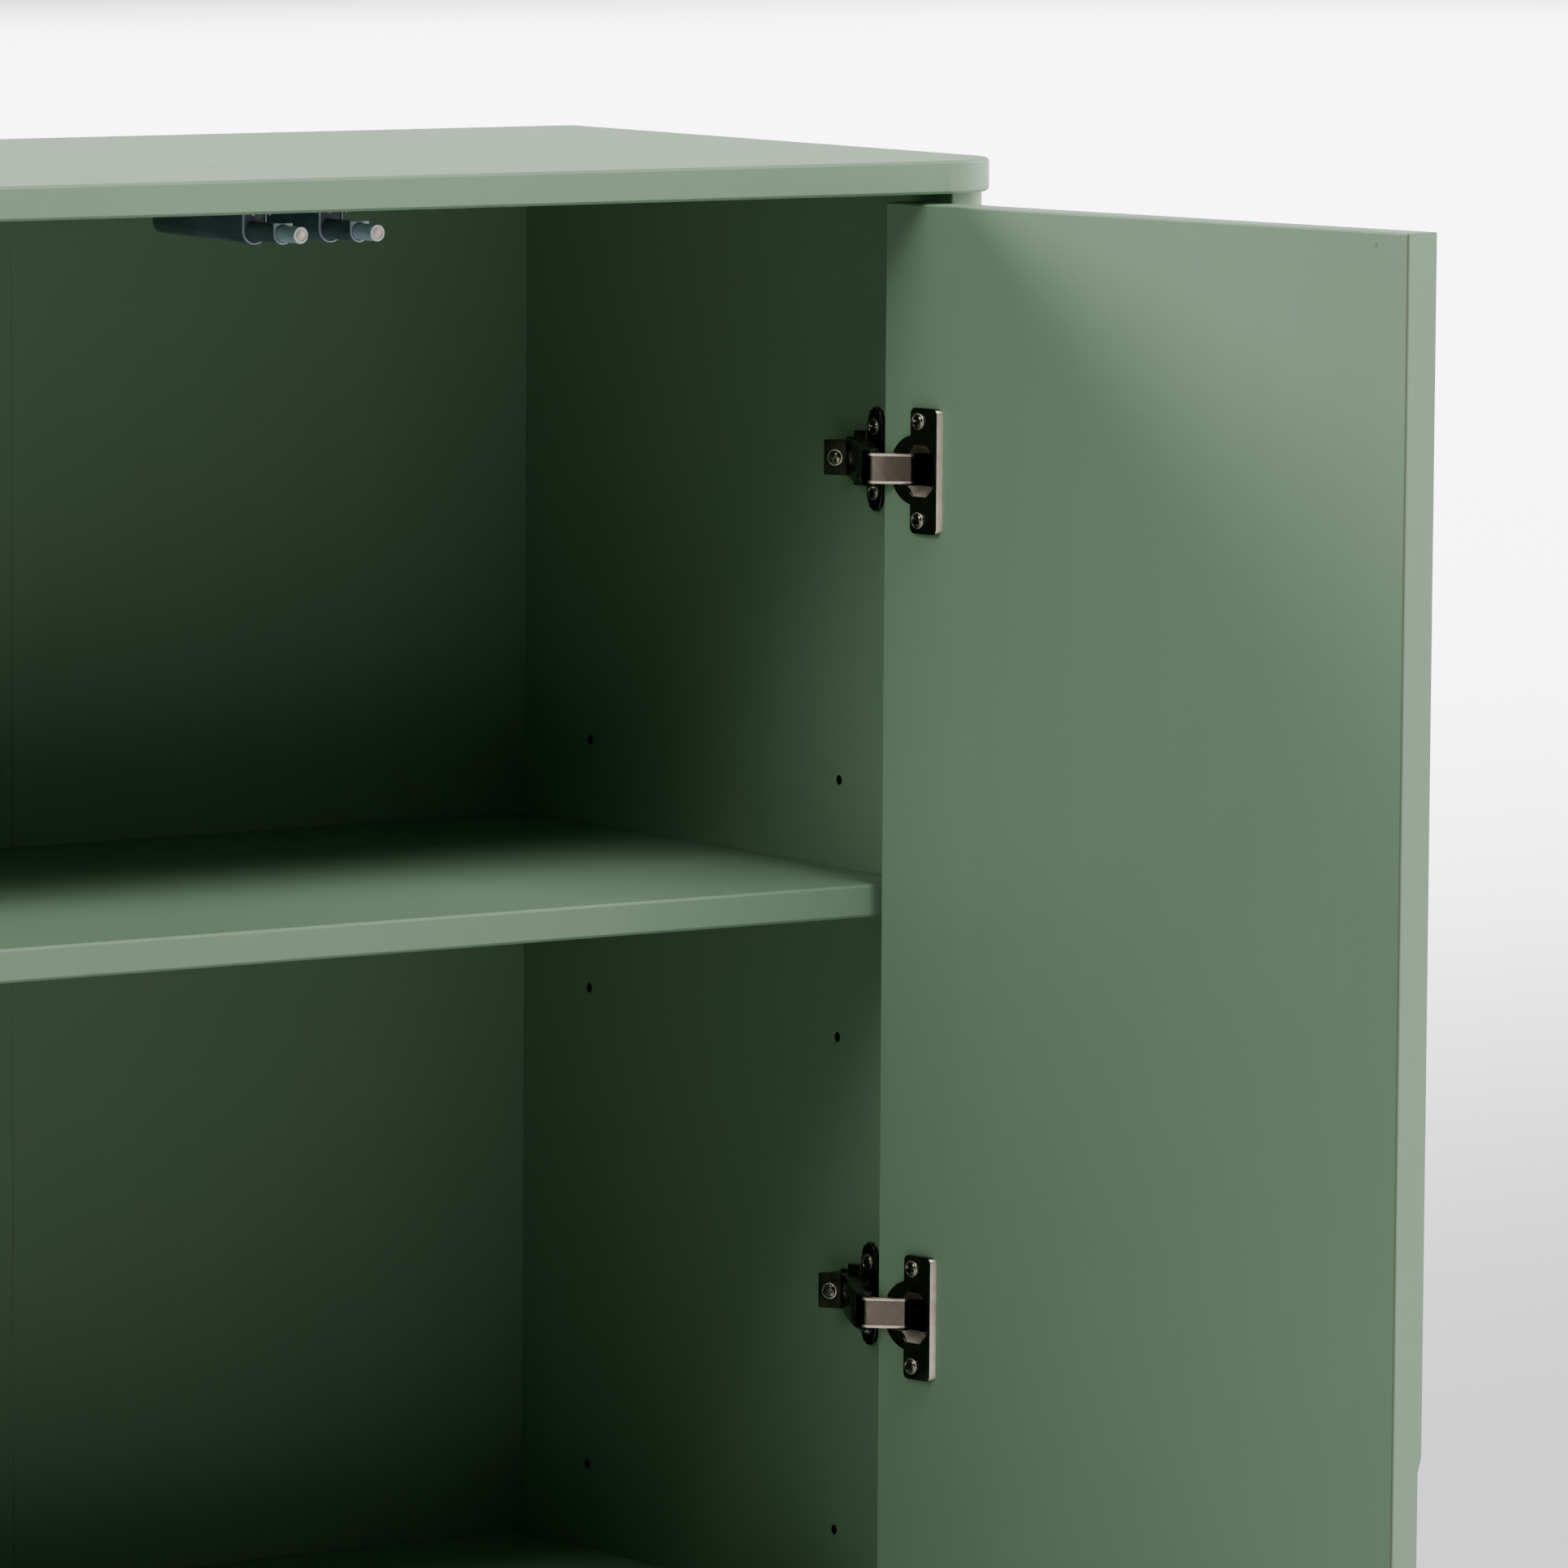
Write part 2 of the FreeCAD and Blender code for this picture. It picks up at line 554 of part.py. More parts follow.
# Hinge cups: pot and screwed flange with an eight-sided mouth
def hinge_cup(side, z):
    face = val(INNER_FACE)
    radius = val("{cup_radius}")

    def at(along):
        return side * (val(DOOR_EDGE) - along)

    depth = val("{cup_depth}") - val("{cup_play}")
    pot = Part.makeCylinder(radius, depth + val("{rim_thickness}"),
                            V(at(val("{cup_centre}")), face - depth, z), BACKWARD)
    near = val("{flange_near}")
    far = near + val("{flange_width}")
    high = val("{flange_height}")
    thick = val("{flange_thickness}")
    beyond = Part.makeBox(radius, thick, high, V(min(at(far), at(far + radius)), face, z - high / 2))
    flange = Part.makeBox(far - near, thick, high, V(min(at(near), at(far)), face, z - high / 2))
    corners = [e for e in flange.Edges if e.BoundBox.YLength > thick / 2]
    flange = flange.makeChamfer(val("{flange_corner}"), corners)
    cup = pot.cut(beyond).fuse(flange)
    mouth_half, bevel = val("{mouth_half}"), val("{mouth_bevel}")
    m0, m1 = val("{mouth_near}"), val("{mouth_far}")
    s0, s1 = val("{slot_near}"), val("{slot_half}")
    corners = [(m0, s1), (m0 + bevel, mouth_half), (m1 - bevel, mouth_half), (m1, mouth_half - bevel),
               (m1, bevel - mouth_half), (m1 - bevel, -mouth_half), (m0 + bevel, -mouth_half), (m0, -s1),
               (s0, -s1), (s0, s1)]
    top = face + thick + val("{overrun}")
    points = [V(at(a), top, z + b) for a, b in corners]
    depth = thick + val("{overrun}") + val("{cup_depth}") - val("{cup_floor}")
    cup = cup.cut(flat(points).extrude(-BACKWARD * depth))
    past = val("{cup_centre}") - radius - val("{overrun}")
    notch = Part.makeBox(s0 - past, thick, 2 * s1, V(min(at(past), at(s0)), face, z - s1))
    return cup.cut(notch).removeSplitter()


def cup_pin(side, z):
    x = side * (val(DOOR_EDGE) - val("{cup_pin_edge}"))
    y = val(INNER_FACE) - val("{cup_pin_depth}")
    half = val("{slot_half}")
    return bar(val("{cup_pin_radius}"), V(x, y, z - half), V(x, y, z + half))


def cup_screws(side, z):
    found = []
    for end in (-1, 1):
        seat = V(side * (val(DOOR_EDGE) - val("{cup_screw_edge}")),
                 val(INNER_FACE) + val("{flange_thickness}"), z + end * val("{cup_screw_pitch}") / 2)
        found.append(hinge_screw(seat, BACKWARD))
    return found


# Hinge arms, plates and screws on the side walls
def wall_point(side, out, back, z=0.0):
    """A point given by its distances from the wall and behind the side front."""
    return V(side * (val(HALF_IN) - out), val(FRONT) + back, z)


def plan(side, places):
    return [(p.x, p.y) for p in (wall_point(side, out, back) for out, back in places)]


def hinge_arm(side, z):
    """A cranked channel: web outside, two legs, cut-off nose round the arm pin."""
    pin_out, pin_back = val("{arm_pin_out}"), val("{arm_pin_back}")
    nose = val("{arm_nose_radius}")
    web_out, web_back = val("{arm_web_out}"), val("{arm_web_back}")
    low_out, low_back = val("{arm_valley_out}"), val("{arm_valley_back}")
    rear_out, rear_back = val("{arm_rear_out}"), val("{arm_rear_back}")
    foot = val("{plate_sheet}")
    reach = val("{arm_half_mid}")
    side_view = [(rear_out, rear_back), (low_out, low_back), (web_out, web_back),
                 (pin_out + nose, pin_back), (pin_out + nose / 2, pin_back - nose),
                 (pin_out - nose / 2, pin_back - nose), (pin_out - nose, pin_back),
                 (web_out - 2 * nose, web_back), (foot, val("{arm_leg_back}")), (foot, rear_back)]
    arm = prism(plan(side, side_view), z - reach, z + reach)
    front = pin_back - nose - val("{overrun}")
    rear = rear_back + val("{overrun}")
    heights = [(rear, val("{arm_half_rear}")), (low_back + val("{arm_sheet}"), val("{arm_half_rear}")),
               (val("{arm_leg_back}"), val("{arm_half_mid}")), (web_back, val("{arm_half_front}")),
               (front, val("{arm_half_front}"))]
    edge = heights + [(back, -half) for back, half in reversed(heights)]
    across = [wall_point(side, -val("{overrun}"), back, z + half) for back, half in edge]
    arm = arm.common(flat(across).extrude(-RIGHT * side * 2 * (pin_out + nose)))
    sheet_width = val("{arm_sheet}")
    far = pin_out + 2 * nose
    hollow = [(rear_out - sheet_width, rear), (low_out - sheet_width, low_back),
              (web_out - sheet_width * 1.5, web_back), (far, web_back), (far, front),
              (-val("{overrun}"), front), (-val("{overrun}"), rear)]
    half = val("{arm_half_inner}")
    arm = arm.cut(prism(plan(side, hollow), z - half, z + half))
    return arm.removeSplitter()


def arm_pin(side, z):
    base = wall_point(side, val("{arm_pin_out}"), val("{arm_pin_back}"), z)
    half = val("{arm_half_inner}")
    return bar(val("{arm_pin_radius}"), base - UP * half, base + UP * half)


def arm_screw_place(side, z):
    """Middle of the arm's sloping rear face, and its outward direction."""
    rear = wall_point(side, val("{arm_rear_out}"), val("{arm_rear_back}"), z)
    low = wall_point(side, val("{arm_valley_out}"), val("{arm_valley_back}"), z)
    along = (low - rear).normalize()
    out = along.cross(UP) * side
    return (rear + low) * 0.5, out


def arm_screw(side, z):
    seat, out = arm_screw_place(side, z)
    return screw_head(seat, out, val("{arm_screw_radius}"), val("{arm_screw_head}"))


def mounting_plate(side, z):
    """A winged plate on the wall with a key that the arm slides over."""
    sheet_width = val("{plate_sheet}")
    middle = val("{plate_back}")
    half_wing = val("{plate_wing}") / 2
    half_high = val("{plate_height}") / 2
    start, end = val("{plate_front_back}"), val("{plate_rear_back}")

    def block(out, back, low, high):
        a = wall_point(side, 0, back[0], z + low)
        b = wall_point(side, out, back[1], z + high)
        return Part.makeBox(abs(a.x - b.x), b.y - a.y, high - low, V(min(a.x, b.x), a.y, a.z))

    wing = block(sheet_width, (middle - half_wing, middle + half_wing), half_wing - half_high,
                 half_high - half_wing)
    pieces = [block(sheet_width, (start, end), -val("{plate_half}"), val("{plate_half}")),
              block(sheet_width + val("{plate_key}"), (val("{arm_leg_back}"), val("{arm_valley_back}")),
                    -val("{plate_key_half}"), val("{plate_key_half}"))]
    for tip in (-1, 1):
        bound = z + tip * (half_high - half_wing)
        corners = [wall_point(side, 0, middle + half_wing * across, bound + tip * half_wing * up)
                   for across, up in ((-1, 0), (-0.5, 1), (0.5, 1), (1, 0))]
        pieces.append(flat(corners).extrude(-RIGHT * side * sheet_width))
    return wing.fuse(pieces).removeSplitter()


def plate_screws(side, z):
    found = []
    for tip in (-1, 1):
        seat = wall_point(side, val("{plate_sheet}"), val("{plate_back}"),
                          z + tip * val("{plate_screw_pitch}") / 2)
        found.append(hinge_screw(seat, -RIGHT * side))
    return found


# Hinge links, drawn from the arm pin towards the cup pin at rest
def link_direction(side):
    shut = V(side * (val(DOOR_EDGE) - val("{cup_pin_edge}")), val(INNER_FACE) - val("{cup_pin_depth}"), 0)
    rest = swing(side).multVec(shut)
    base = wall_point(side, val("{arm_pin_out}"), val("{arm_pin_back}"))
    return (rest - base).normalize()


def hinge_link(side, z):
    """A channel with an eye at the arm pin and a slot at the open pivot."""
    base = wall_point(side, val("{arm_pin_out}"), val("{arm_pin_back}"), z)
    along = link_direction(side)
    out = along.cross(UP) * side
    if out.x * side > 0:
        out = -out
    half, sheet_width = val("{link_half}"), val("{link_sheet}")
    eye, inner, reach = val("{link_eye}"), val("{link_inner}"), val("{link_reach}")

    def spot(forward, outward):
        place = base + along * forward + out * outward
        return (place.x, place.y)

    waist, cheek = val("{link_waist}"), val("{link_cheek}")
    inside = eye - sheet_width
    body = prism([spot(0, eye), spot(reach - sheet_width, eye), spot(reach, inside), spot(cheek, inside),
                  spot(cheek, -waist), spot(2 * inner, -waist), spot(inner, -inner), spot(0, -inner)],
                 z - half, z + half)
    body = body.fuse(bar(inner, base - UP * half, base + UP * half))
    far = 2 * reach
    hollow = prism([spot(-far, inside), spot(far, inside), spot(far, -far), spot(-far, -far)],
                   z - half + sheet_width, z + half - sheet_width)
    body = body.cut(hollow)
    eye_hole = bar(val("{arm_pin_radius}") + val("{pivot_play}"), base - UP * half, base + UP * half)
    return body.cut(eye_hole).removeSplitter()


heights = [val(z) for z in HINGE_ROWS]
for name, side in SIDES:
    door = make_door(name, side)
    door.Placement = swing(side)
    swung(name + "_hinge_cups", side, [hinge_cup(side, z) for z in heights])
    swung(name + "_cup_pins", side, [cup_pin(side, z) for z in heights])
    swung(name + "_cup_screws", side, [s for z in heights for s in cup_screws(side, z)])
    group(name + "_hinge_arms", [hinge_arm(side, z) for z in heights])
    group(name + "_arm_pins", [arm_pin(side, z) for z in heights])
    group(name + "_arm_screws", [arm_screw(side, z) for z in heights])
    group(name + "_mounting_plates", [mounting_plate(side, z) for z in heights])
    group(name + "_plate_screws", [s for z in heights for s in plate_screws(side, z)])
    group(name + "_hinge_links", [hinge_link(side, z) for z in heights])


# Push latches: plunger with a magnet, tube, cradle and screws
def along_latch(side, back):
    return V(side * val("{latch_offset}"), val(LATCH_TIP) + back, val(UNDER_TOP) - val("{latch_drop}"))


def make_latch(name, side):
    stick, tail = val("{plunger_stick}"), val("{plunger_tail}")
    radius, bore = val("{plunger_radius}"), val("{tube_bore}")
    magnet_radius, magnet_depth = val("{magnet_radius}"), val("{magnet_depth}")
    tip = along_latch(side, 0)
    plunger = Part.makeCylinder(radius, stick + tail, tip, BACKWARD)
    plunger = plunger.cut(bar(magnet_radius, tip, along_latch(side, magnet_depth)))
    group(name + "_latch_plunger", [plunger])
    sunk = val("{magnet_sunk}")
    group(name + "_plunger_magnet",
          [bar(magnet_radius, along_latch(side, sunk), along_latch(side, magnet_depth))])
    mouth = along_latch(side, stick)
    tube = Part.makeCylinder(val("{tube_radius}"), val("{tube_length}"), mouth, BACKWARD)
    hole = Part.makeCylinder(bore, val("{tube_length}") - val("{tube_stop}"), mouth, BACKWARD)
    group(name + "_latch_tube", [tube.cut(hole)])
    group(name + "_latch_cradle", [latch_cradle(side)])


def latch_cradle(side):
    """A trough that holds the tube against the top, cut shallower towards its rear."""
    half, length = val("{cradle_half}"), val("{cradle_length}")
    ceiling = val(UNDER_TOP)
    front = val("{cradle_start}")

    def arch(back, wide, long):
        """Two cheeks up to the top and a faceted underside, about the latch axis."""
        centre = along_latch(side, back)
        lower = ring(wide, centre, BACKWARD)[:int(val("{screw_sides}")) // 2 + 1]
        ends = [V(corner.x, corner.y, ceiling) for corner in (lower[-1], lower[0])]
        return flat(lower + ends).extrude(BACKWARD * long)

    lip = val("{cradle_lip}")
    body = arch(front, half, length)
    start, end = along_latch(side, front + lip), along_latch(side, front + length)
    low = ceiling - 2 * val("{cradle_rear_depth}") - half
    slope = [V(start.x - 2 * half, start.y, ceiling - val("{latch_drop}") - half),
             V(start.x - 2 * half, end.y, ceiling - val("{cradle_rear_depth}")),
             V(start.x - 2 * half, end.y, low), V(start.x - 2 * half, start.y, low)]
    body = body.cut(flat(slope).extrude(RIGHT * 4 * half))
    body = body.fuse(arch(front, half + lip, lip))
    tab_long, tab_high = val("{cradle_tab}"), val("{cradle_tab_height}")
    for back in (front - tab_long, front + length):
        place = along_latch(side, back)
        tab = Part.makeBox(2 * half, tab_long, tab_high, V(place.x - half, place.y, ceiling - tab_high))
        body = body.fuse(tab)
    tube = Part.makeCylinder(val("{tube_radius}"), val("{tube_length}"),
                             along_latch(side, val("{plunger_stick}")), BACKWARD)
    return body.cut(tube).removeSplitter()


def latch_screws():
    found = []
    for _, side in SIDES:
        for row in LATCH_SCREW_ROWS:
            seat = V(side * val("{latch_offset}"), val(row), val(UNDER_TOP) - val("{cradle_tab_height}"))
            found.append(screw_head(seat, -UP, val("{latch_screw_head}"), val("{screw_head_height}")))
    return found


def batten_screws():
    found = []
    for side in (-1, 1):
        seat = V(side * val("{batten_screw_pitch}") / 2, val(BATTEN_FACE) + val("{batten_thickness}"),
                 val(FLOOR_MID))
        found.append(screw_head(seat, BACKWARD, val("{batten_screw_head}"), val("{screw_head_height}") / 2))
    return found


for name, side in SIDES:
    make_latch(name, side)
group("latch_screws", latch_screws())
group("batten_screws", batten_screws())


# Checks, then one file for each sub-part
doc.recompute()
for item in doc.Objects:
    bad = [state for state in item.State if state in ("Invalid", "Error")]
    if bad:
        raise RuntimeError("%s is %s" % (item.Label, bad))
for node in PARTS:
    if node.Shape.isNull() or not node.Shape.isValid():
        raise RuntimeError("%s has no valid shape" % node.Label)
for node in PARTS:
    node.Shape.exportStep("parts/%s.step" % node.Label)
    print("%-22s solids %2d  volume %.0f" % (node.Label, len(node.Shape.Solids), node.Shape.Volume))
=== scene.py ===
import math

import bmesh
import bpy
from bpy.props import FloatProperty, FloatVectorProperty, PointerProperty
from mathutils import Matrix, Vector


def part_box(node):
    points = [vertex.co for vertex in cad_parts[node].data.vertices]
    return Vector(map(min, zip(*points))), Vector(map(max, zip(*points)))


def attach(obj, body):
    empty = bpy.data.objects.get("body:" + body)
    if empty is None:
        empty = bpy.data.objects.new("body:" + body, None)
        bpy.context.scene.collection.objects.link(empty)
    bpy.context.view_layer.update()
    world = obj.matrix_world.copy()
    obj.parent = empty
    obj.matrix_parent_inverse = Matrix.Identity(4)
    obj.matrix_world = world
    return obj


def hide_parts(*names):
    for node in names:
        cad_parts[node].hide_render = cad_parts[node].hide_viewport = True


bl_info = {
    "name": "Two-door cupboard",
    "version": (1, 0, 0),
    "blender": (4, 5, 0),
    "location": "View3D > Sidebar > Cupboard",
    "description": "Looks of a lacquered cupboard with cup hinges and push latches",
    "category": "Object",
}

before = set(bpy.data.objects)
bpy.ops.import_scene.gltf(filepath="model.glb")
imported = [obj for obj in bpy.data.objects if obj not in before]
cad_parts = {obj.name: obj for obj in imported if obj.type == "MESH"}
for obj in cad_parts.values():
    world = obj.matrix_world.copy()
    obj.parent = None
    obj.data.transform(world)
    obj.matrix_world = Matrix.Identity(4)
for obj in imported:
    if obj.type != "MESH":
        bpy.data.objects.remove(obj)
SIDES = (("left", -1), ("right", 1))
UP = Vector((0, 0, 1))
BOARDS = ("top_panel", "bottom_panel", "left_side_panel", "right_side_panel", "upper_shelf",
          "lower_shelf", "plinth_front_rail", "plinth_back_rail", "plinth_left_rail",
          "plinth_right_rail", "plinth_centre_rail")
THIN_BOARDS = ("back_panel_left", "back_panel_right", "back_batten")
# Places that repeat the frame's geometry, in metres
DOOR_EDGE = 0.3425
INNER_FACE = -0.166
SIDE_FRONT = -0.186
WALL = 0.346
UNDER_TOP = 1.184
PIVOT = (0.3321, -0.1786)
OPEN_ANGLE = math.radians(100)
HINGE_ROWS = (1.0505, 0.637, 0.2235)
LATCH_X = 0.021
LATCH_Z = 1.1725
LATCH_TIP = -0.1857
# Paint zones: depth, y and z of the shelf holes, then distances on a door from its hinge edge
HOLE_DEPTH = (0.0003, 0.012)
HOLE_Y = (-0.16, 0.17)
HOLE_Z = (0.1, UNDER_TOP - 0.01)
GLUE_LINE = (0.3397, 0.3407)
GLUE_FACE = (-0.0006, 0.001)
LATCH_HOLE = 0.3214
# Hinge cup: x from the door's hinge edge, y up and down, z out of the inner face
POT_AXIS, POT_RADIUS, POT_FLOOR = 0.0222, 0.017, -0.01275
FLANGE_START, FLANGE_END, FLANGE_HALF, FLANGE_TOP = 0.0209, 0.0389, 0.0305, 0.003
FLANGE_CORNER = 0.0029
FLANGE_DRAFT = 0.0014
MOUTH = ((0.0178, 0.0078), (0.0228, 0.0124), (0.0318, 0.0124), (0.0368, 0.0074))
MOUTH_FLOOR = -0.01205
SLOT_HALF = 0.0078
SLOT_END = 0.0058
# Limits of the cup's zones of painted highlight and painted shade: the rim of the flange, then the
# mouth in x and y
FLANGE_HIGHLIGHT_RIM = 0.0380
MOUTH_ENDS = (0.0175, 0.0372)
MOUTH_BAND, MOUTH_REACH = 0.0076, 0.0130
# The wedges in the mouth: outer corners below the flange, inner corners, and their heights
THROAT_RIM = ((0.0178, 0.0078), (0.0228, 0.0124), (0.0268, 0.0124), (0.0318, 0.0124),
              (0.0338, 0.0104))
THROAT_FOOT = ((0.0182, 0.0078), (0.0232, 0.0079), (0.0268, 0.0080), (0.0292, 0.0108),
               (0.0338, 0.01035))
THROAT_TOP, THROAT_SLOT_TOP, THROAT_EDGE, THROAT_BASE = 0.0024, 0.0004, -0.005, -0.012
# Hinge screws, plates and links: distances out of the wall or the door, back from its front
CUP_SCREW = (0.0264, 0.024)
PLATE_SCREW = (0.0025, 0.0606, 0.016)
ARM_RIVET = (0.035, 0.015, 0.009)
ARM_BLOCK = ((0.0095, 0.0735), (0.0165, 0.084))
BOSS_SECTION = ((0.0005, 0.0635), (0.0042, 0.0635), (0.0052, 0.0645), (0.0052, 0.0745),
                (0.0042, 0.0755), (0.0005, 0.0755))
BOSS_HALF = 0.0135
PLATE_TIP = 0.0015
# Half height of a link's middle; above and below it the link gets a painted highlight
LINK_HIGHLIGHT_LIMIT = 0.0061
# Turned parts as radius and height
SCREW_PROFILE = ((0, 0), (0.0040, 0), (0.0040, 0.0004), (0.00385, 0.0008), (0.0035, 0.0009),
                 (0.0033, 0.0007), (0.0031, 0.0009), (0.0027, 0.0013), (0.0018, 0.00155),
                 (0.0008, 0.0016), (0, 0.0016))
SCREW_RADIUS = 0.004
SCREW_HIGHLIGHT_RIM = 0.0034
RIVET_PROFILE = ((0, 0), (0.0024, 0), (0.0023, 0.0005), (0.0015, 0.0009), (0, 0.0010))
PAINT_PROFILE = ((0, -0.0012), (0.0012, -0.0012), (0.0012, -0.0001), (0.0007, -0.00025),
                 (0, -0.0003))
PLUNGER_PROFILE = ((0, 0.0003), (0.0029, 0.0003), (0.0029, 0), (0.0036, 0), (0.0039, 0.0003),
                   (0.0039, 0.0468), (0, 0.047))
MAGNET_PROFILE = ((0, 0.0001), (0.0025, 0.0001), (0.0028, 0.0003), (0.0028, 0.0036), (0, 0.0036))
TUBE_PROFILE = ((0, 0.110), (0.0041, 0.110), (0.0041, 0.0161), (0.0043, 0.016), (0.0046, 0.016),
                (0.0047, 0.0161), (0.0047, 0.1125), (0.0044, 0.113), (0, 0.113))
# Places of the push latch along y
PLUNGER_TIP = LATCH_TIP + 0.004
TUBE_MOUTH = LATCH_TIP + 0.020
CRADLE_FRONT = LATCH_TIP + 0.046
CRADLE_REAR = LATCH_TIP + 0.129
LATCH_SCREWS = (LATCH_TIP + 0.0425, LATCH_TIP + 0.1335)
LATCH_SCREW_RADIUS = 0.0021
TAB_THICKNESS = 0.0032
BATTEN_SCREW = (0.023, 0.084)
# Colours that no setting changes
# Raw board inside the shelf holes, darkened with painted shade
RAW_BOARD_AND_SHADE = (0.022, 0.012, 0.009, 1)
GLUE = (0.08, 0.06, 0.035, 1)
# Painted highlight on cup rims, mouth lips, link borders and screw rims, then painted highlight on
# the lower throat and painted shade on the upper throat
EDGE_HIGHLIGHT_METAL = (0.86, 0.75, 0.60)
THROAT_HIGHLIGHT_METAL = (0.98, 0.88, 0.76)
THROAT_PAINTED_SHADE = (0.34, 0.28, 0.22)
MAGNET_METAL = (0.62, 0.52, 0.44)
# Painted shade on the front faces of the cradles
LATCH_PAINTED_SHADE = (0.012, 0.016, 0.024)
# Painted highlight on the cradle lips, their feet and the tube collars
LATCH_LIP_HIGHLIGHT = (0.34, 0.40, 0.44)
PLUNGER_FACE = (0.86, 0.86, 0.84)
CLEAR_PLASTIC = (0.62, 0.70, 0.66)
# Lights: name, setting, size, place, target and spread in degrees
LIGHTS = (
    ("Overhead light", "key", (4.8, 2.0), (1.4, -3.8, 7.5), (0.1, -0.2, 1.0), 180),
    ("Left light", "left", (4.2, 3.0), (-6.3, -1.9, 5.6), (0.3, -0.3, 0.9), 180),
    ("Low left light", "low", (1.2, 0.8), (-4.3, -2.4, 0.75), (0.38, -0.3, 0.8), 180),
    ("Rear light", "rear", (2.2, 2.0), (-2.8, 3.4, 3.4), (0.3, -0.4, 1.0), 180),
    ("Right light", "right", (3.5, 3.2), (4.0, -4.0, 1.7), (0.2, -0.2, 0.9), 180),
    ("Side light", "side", (1.4, 2.0), (3.6, -0.2, 2.2), (0.3, 0.0, 0.9), 180),
    ("Front light", "front", (1.6, 1.2), (0.6, -3.8, 1.3), (0.0, 0.0, 0.9), 180),
    ("Backdrop light", "backdrop", (34, 34), (18, 26, 11), (18, 26, 0), 180),
    ("Floor light", "flood", (26, 26), (12.5, 18, 9), (12.5, 18, 0), 50))
# Camera: place, then yaw, pitch and roll in degrees, and lens and sensor in millimetres
CAMERA_PLACE = (-2.560948, -4.2926, 1.443995)
CAMERA_ANGLES = (34.389, 6.223, 0.361)
CAMERA_LENS, CAMERA_SENSOR = 238.68, 36.0


# Settings
class PaintSettings(bpy.types.PropertyGroup):
    colour: FloatVectorProperty(
        name="Colour", description="Lacquer colour", subtype="COLOR", size=3,
        default=(0.160, 0.254, 0.160), min=0, max=1)
    roughness: FloatProperty(
        name="Roughness", description="Gloss of the lacquer, 1 is dull", subtype="FACTOR",
        default=0.42, min=0, max=1)
    peel: FloatProperty(
        name="Orange peel", description="Depth of the sprayed texture", unit="LENGTH",
        default=0.00003, min=0, max=0.001)


class MetalSettings(bpy.types.PropertyGroup):
    dark: FloatVectorProperty(
        name="Dark nickel", description="Colour that cups, arms and plates are darkened from",
        subtype="COLOR", size=3, default=(0.24, 0.22, 0.20), min=0, max=1)
    bright: FloatVectorProperty(
        name="Bright nickel", description="Colour of the small screws, and darker of the others",
        subtype="COLOR", size=3, default=(0.50, 0.45, 0.40), min=0, max=1)
    link: FloatVectorProperty(
        name="Link nickel", description="Colour of the hinge links", subtype="COLOR", size=3,
        default=(0.135, 0.112, 0.090), min=0, max=1)
    edge: FloatProperty(
        name="Edge radius", description="Rounded edges of the pressed sheet", unit="LENGTH",
        default=0.0005, min=0.0001, max=0.002)


class PlasticSettings(bpy.types.PropertyGroup):
    body: FloatVectorProperty(
        name="Latch body", description="Colour of the tubes and cradles", subtype="COLOR", size=3,
        default=(0.030, 0.050, 0.075), min=0, max=1)
    plunger: FloatVectorProperty(
        name="Plunger", description="Colour of the plungers", subtype="COLOR", size=3,
        default=(0.42, 0.50, 0.66), min=0, max=1)


class StageSettings(bpy.types.PropertyGroup):
    key: FloatProperty(
        name="Overhead light", description="Power of the high light in front", unit="POWER",
        default=695.0, min=0)
    left: FloatProperty(
        name="Left light", description="Power of the large light on the left", unit="POWER",
        default=335.0, min=0)
    low: FloatProperty(
        name="Low left light", description="Power of the low light on the left", unit="POWER",
        default=13.0, min=0)
    rear: FloatProperty(
        name="Rear light", description="Power of the light behind on the left", unit="POWER",
        default=385.0, min=0)
    right: FloatProperty(
        name="Right light", description="Power of the large light in front on the right",
        unit="POWER", default=118.0, min=0)
    side: FloatProperty(
        name="Side light", description="Power of the light beside the right end", unit="POWER",
        default=150.0, min=0)
    front: FloatProperty(
        name="Front light", description="Power of the small light in front", unit="POWER",
        default=3.0, min=0)
    backdrop: FloatProperty(
        name="Backdrop light", description="Power of the light over the far floor", unit="POWER",
        default=8000.0, min=0)
    flood: FloatProperty(
        name="Floor light", description="Power of the hooded light over the floor behind",
        unit="POWER", default=16000.0, min=0)
    ambient: FloatProperty(
        name="Ambient", description="Strength of the surroundings", default=0.02, min=0)


# Meshes
def mesh_of(work, name="form"):
    """The bmesh as a mesh with its faces turned outwards; the bmesh is freed."""
    bmesh.ops.recalc_face_normals(work, faces=work.faces)
    mesh = bpy.data.meshes.new(name)
    work.to_mesh(mesh)
    work.free()
    return mesh


def from_bmesh(name, work):
    """The bmesh as a new piece in the scene."""
    piece = bpy.data.objects.new(name, mesh_of(work, name))
    bpy.context.scene.collection.objects.link(piece)
    return piece


def named(piece, name):
    """The piece under another name, and its mesh with it."""
    piece.name = piece.data.name = name
    return piece


def revolve(profile, steps=48):
    """A solid of revolution about +Z as a new bmesh; the profile runs from axis to axis."""
    work = bmesh.new()
    rings = []
    for radius, height in profile:
        if radius < 1e-7:
            rings.append([work.verts.new((0, 0, height))])
            continue
        rings.append([work.verts.new((radius * math.cos(2 * math.pi * k / steps),
                                      radius * math.sin(2 * math.pi * k / steps), height))
                      for k in range(steps)])
    for low, high in zip(rings, rings[1:]):
        for k in range(steps):
            n = (k + 1) % steps
            if len(low) == 1 and len(high) == 1:
                continue
            if len(low) == 1:
                work.faces.new((low[0], high[k], high[n]))
            elif len(high) == 1:
                work.faces.new((low[k], low[n], high[0]))
            else:
                work.faces.new((low[k], low[n], high[n], high[k]))
    return work


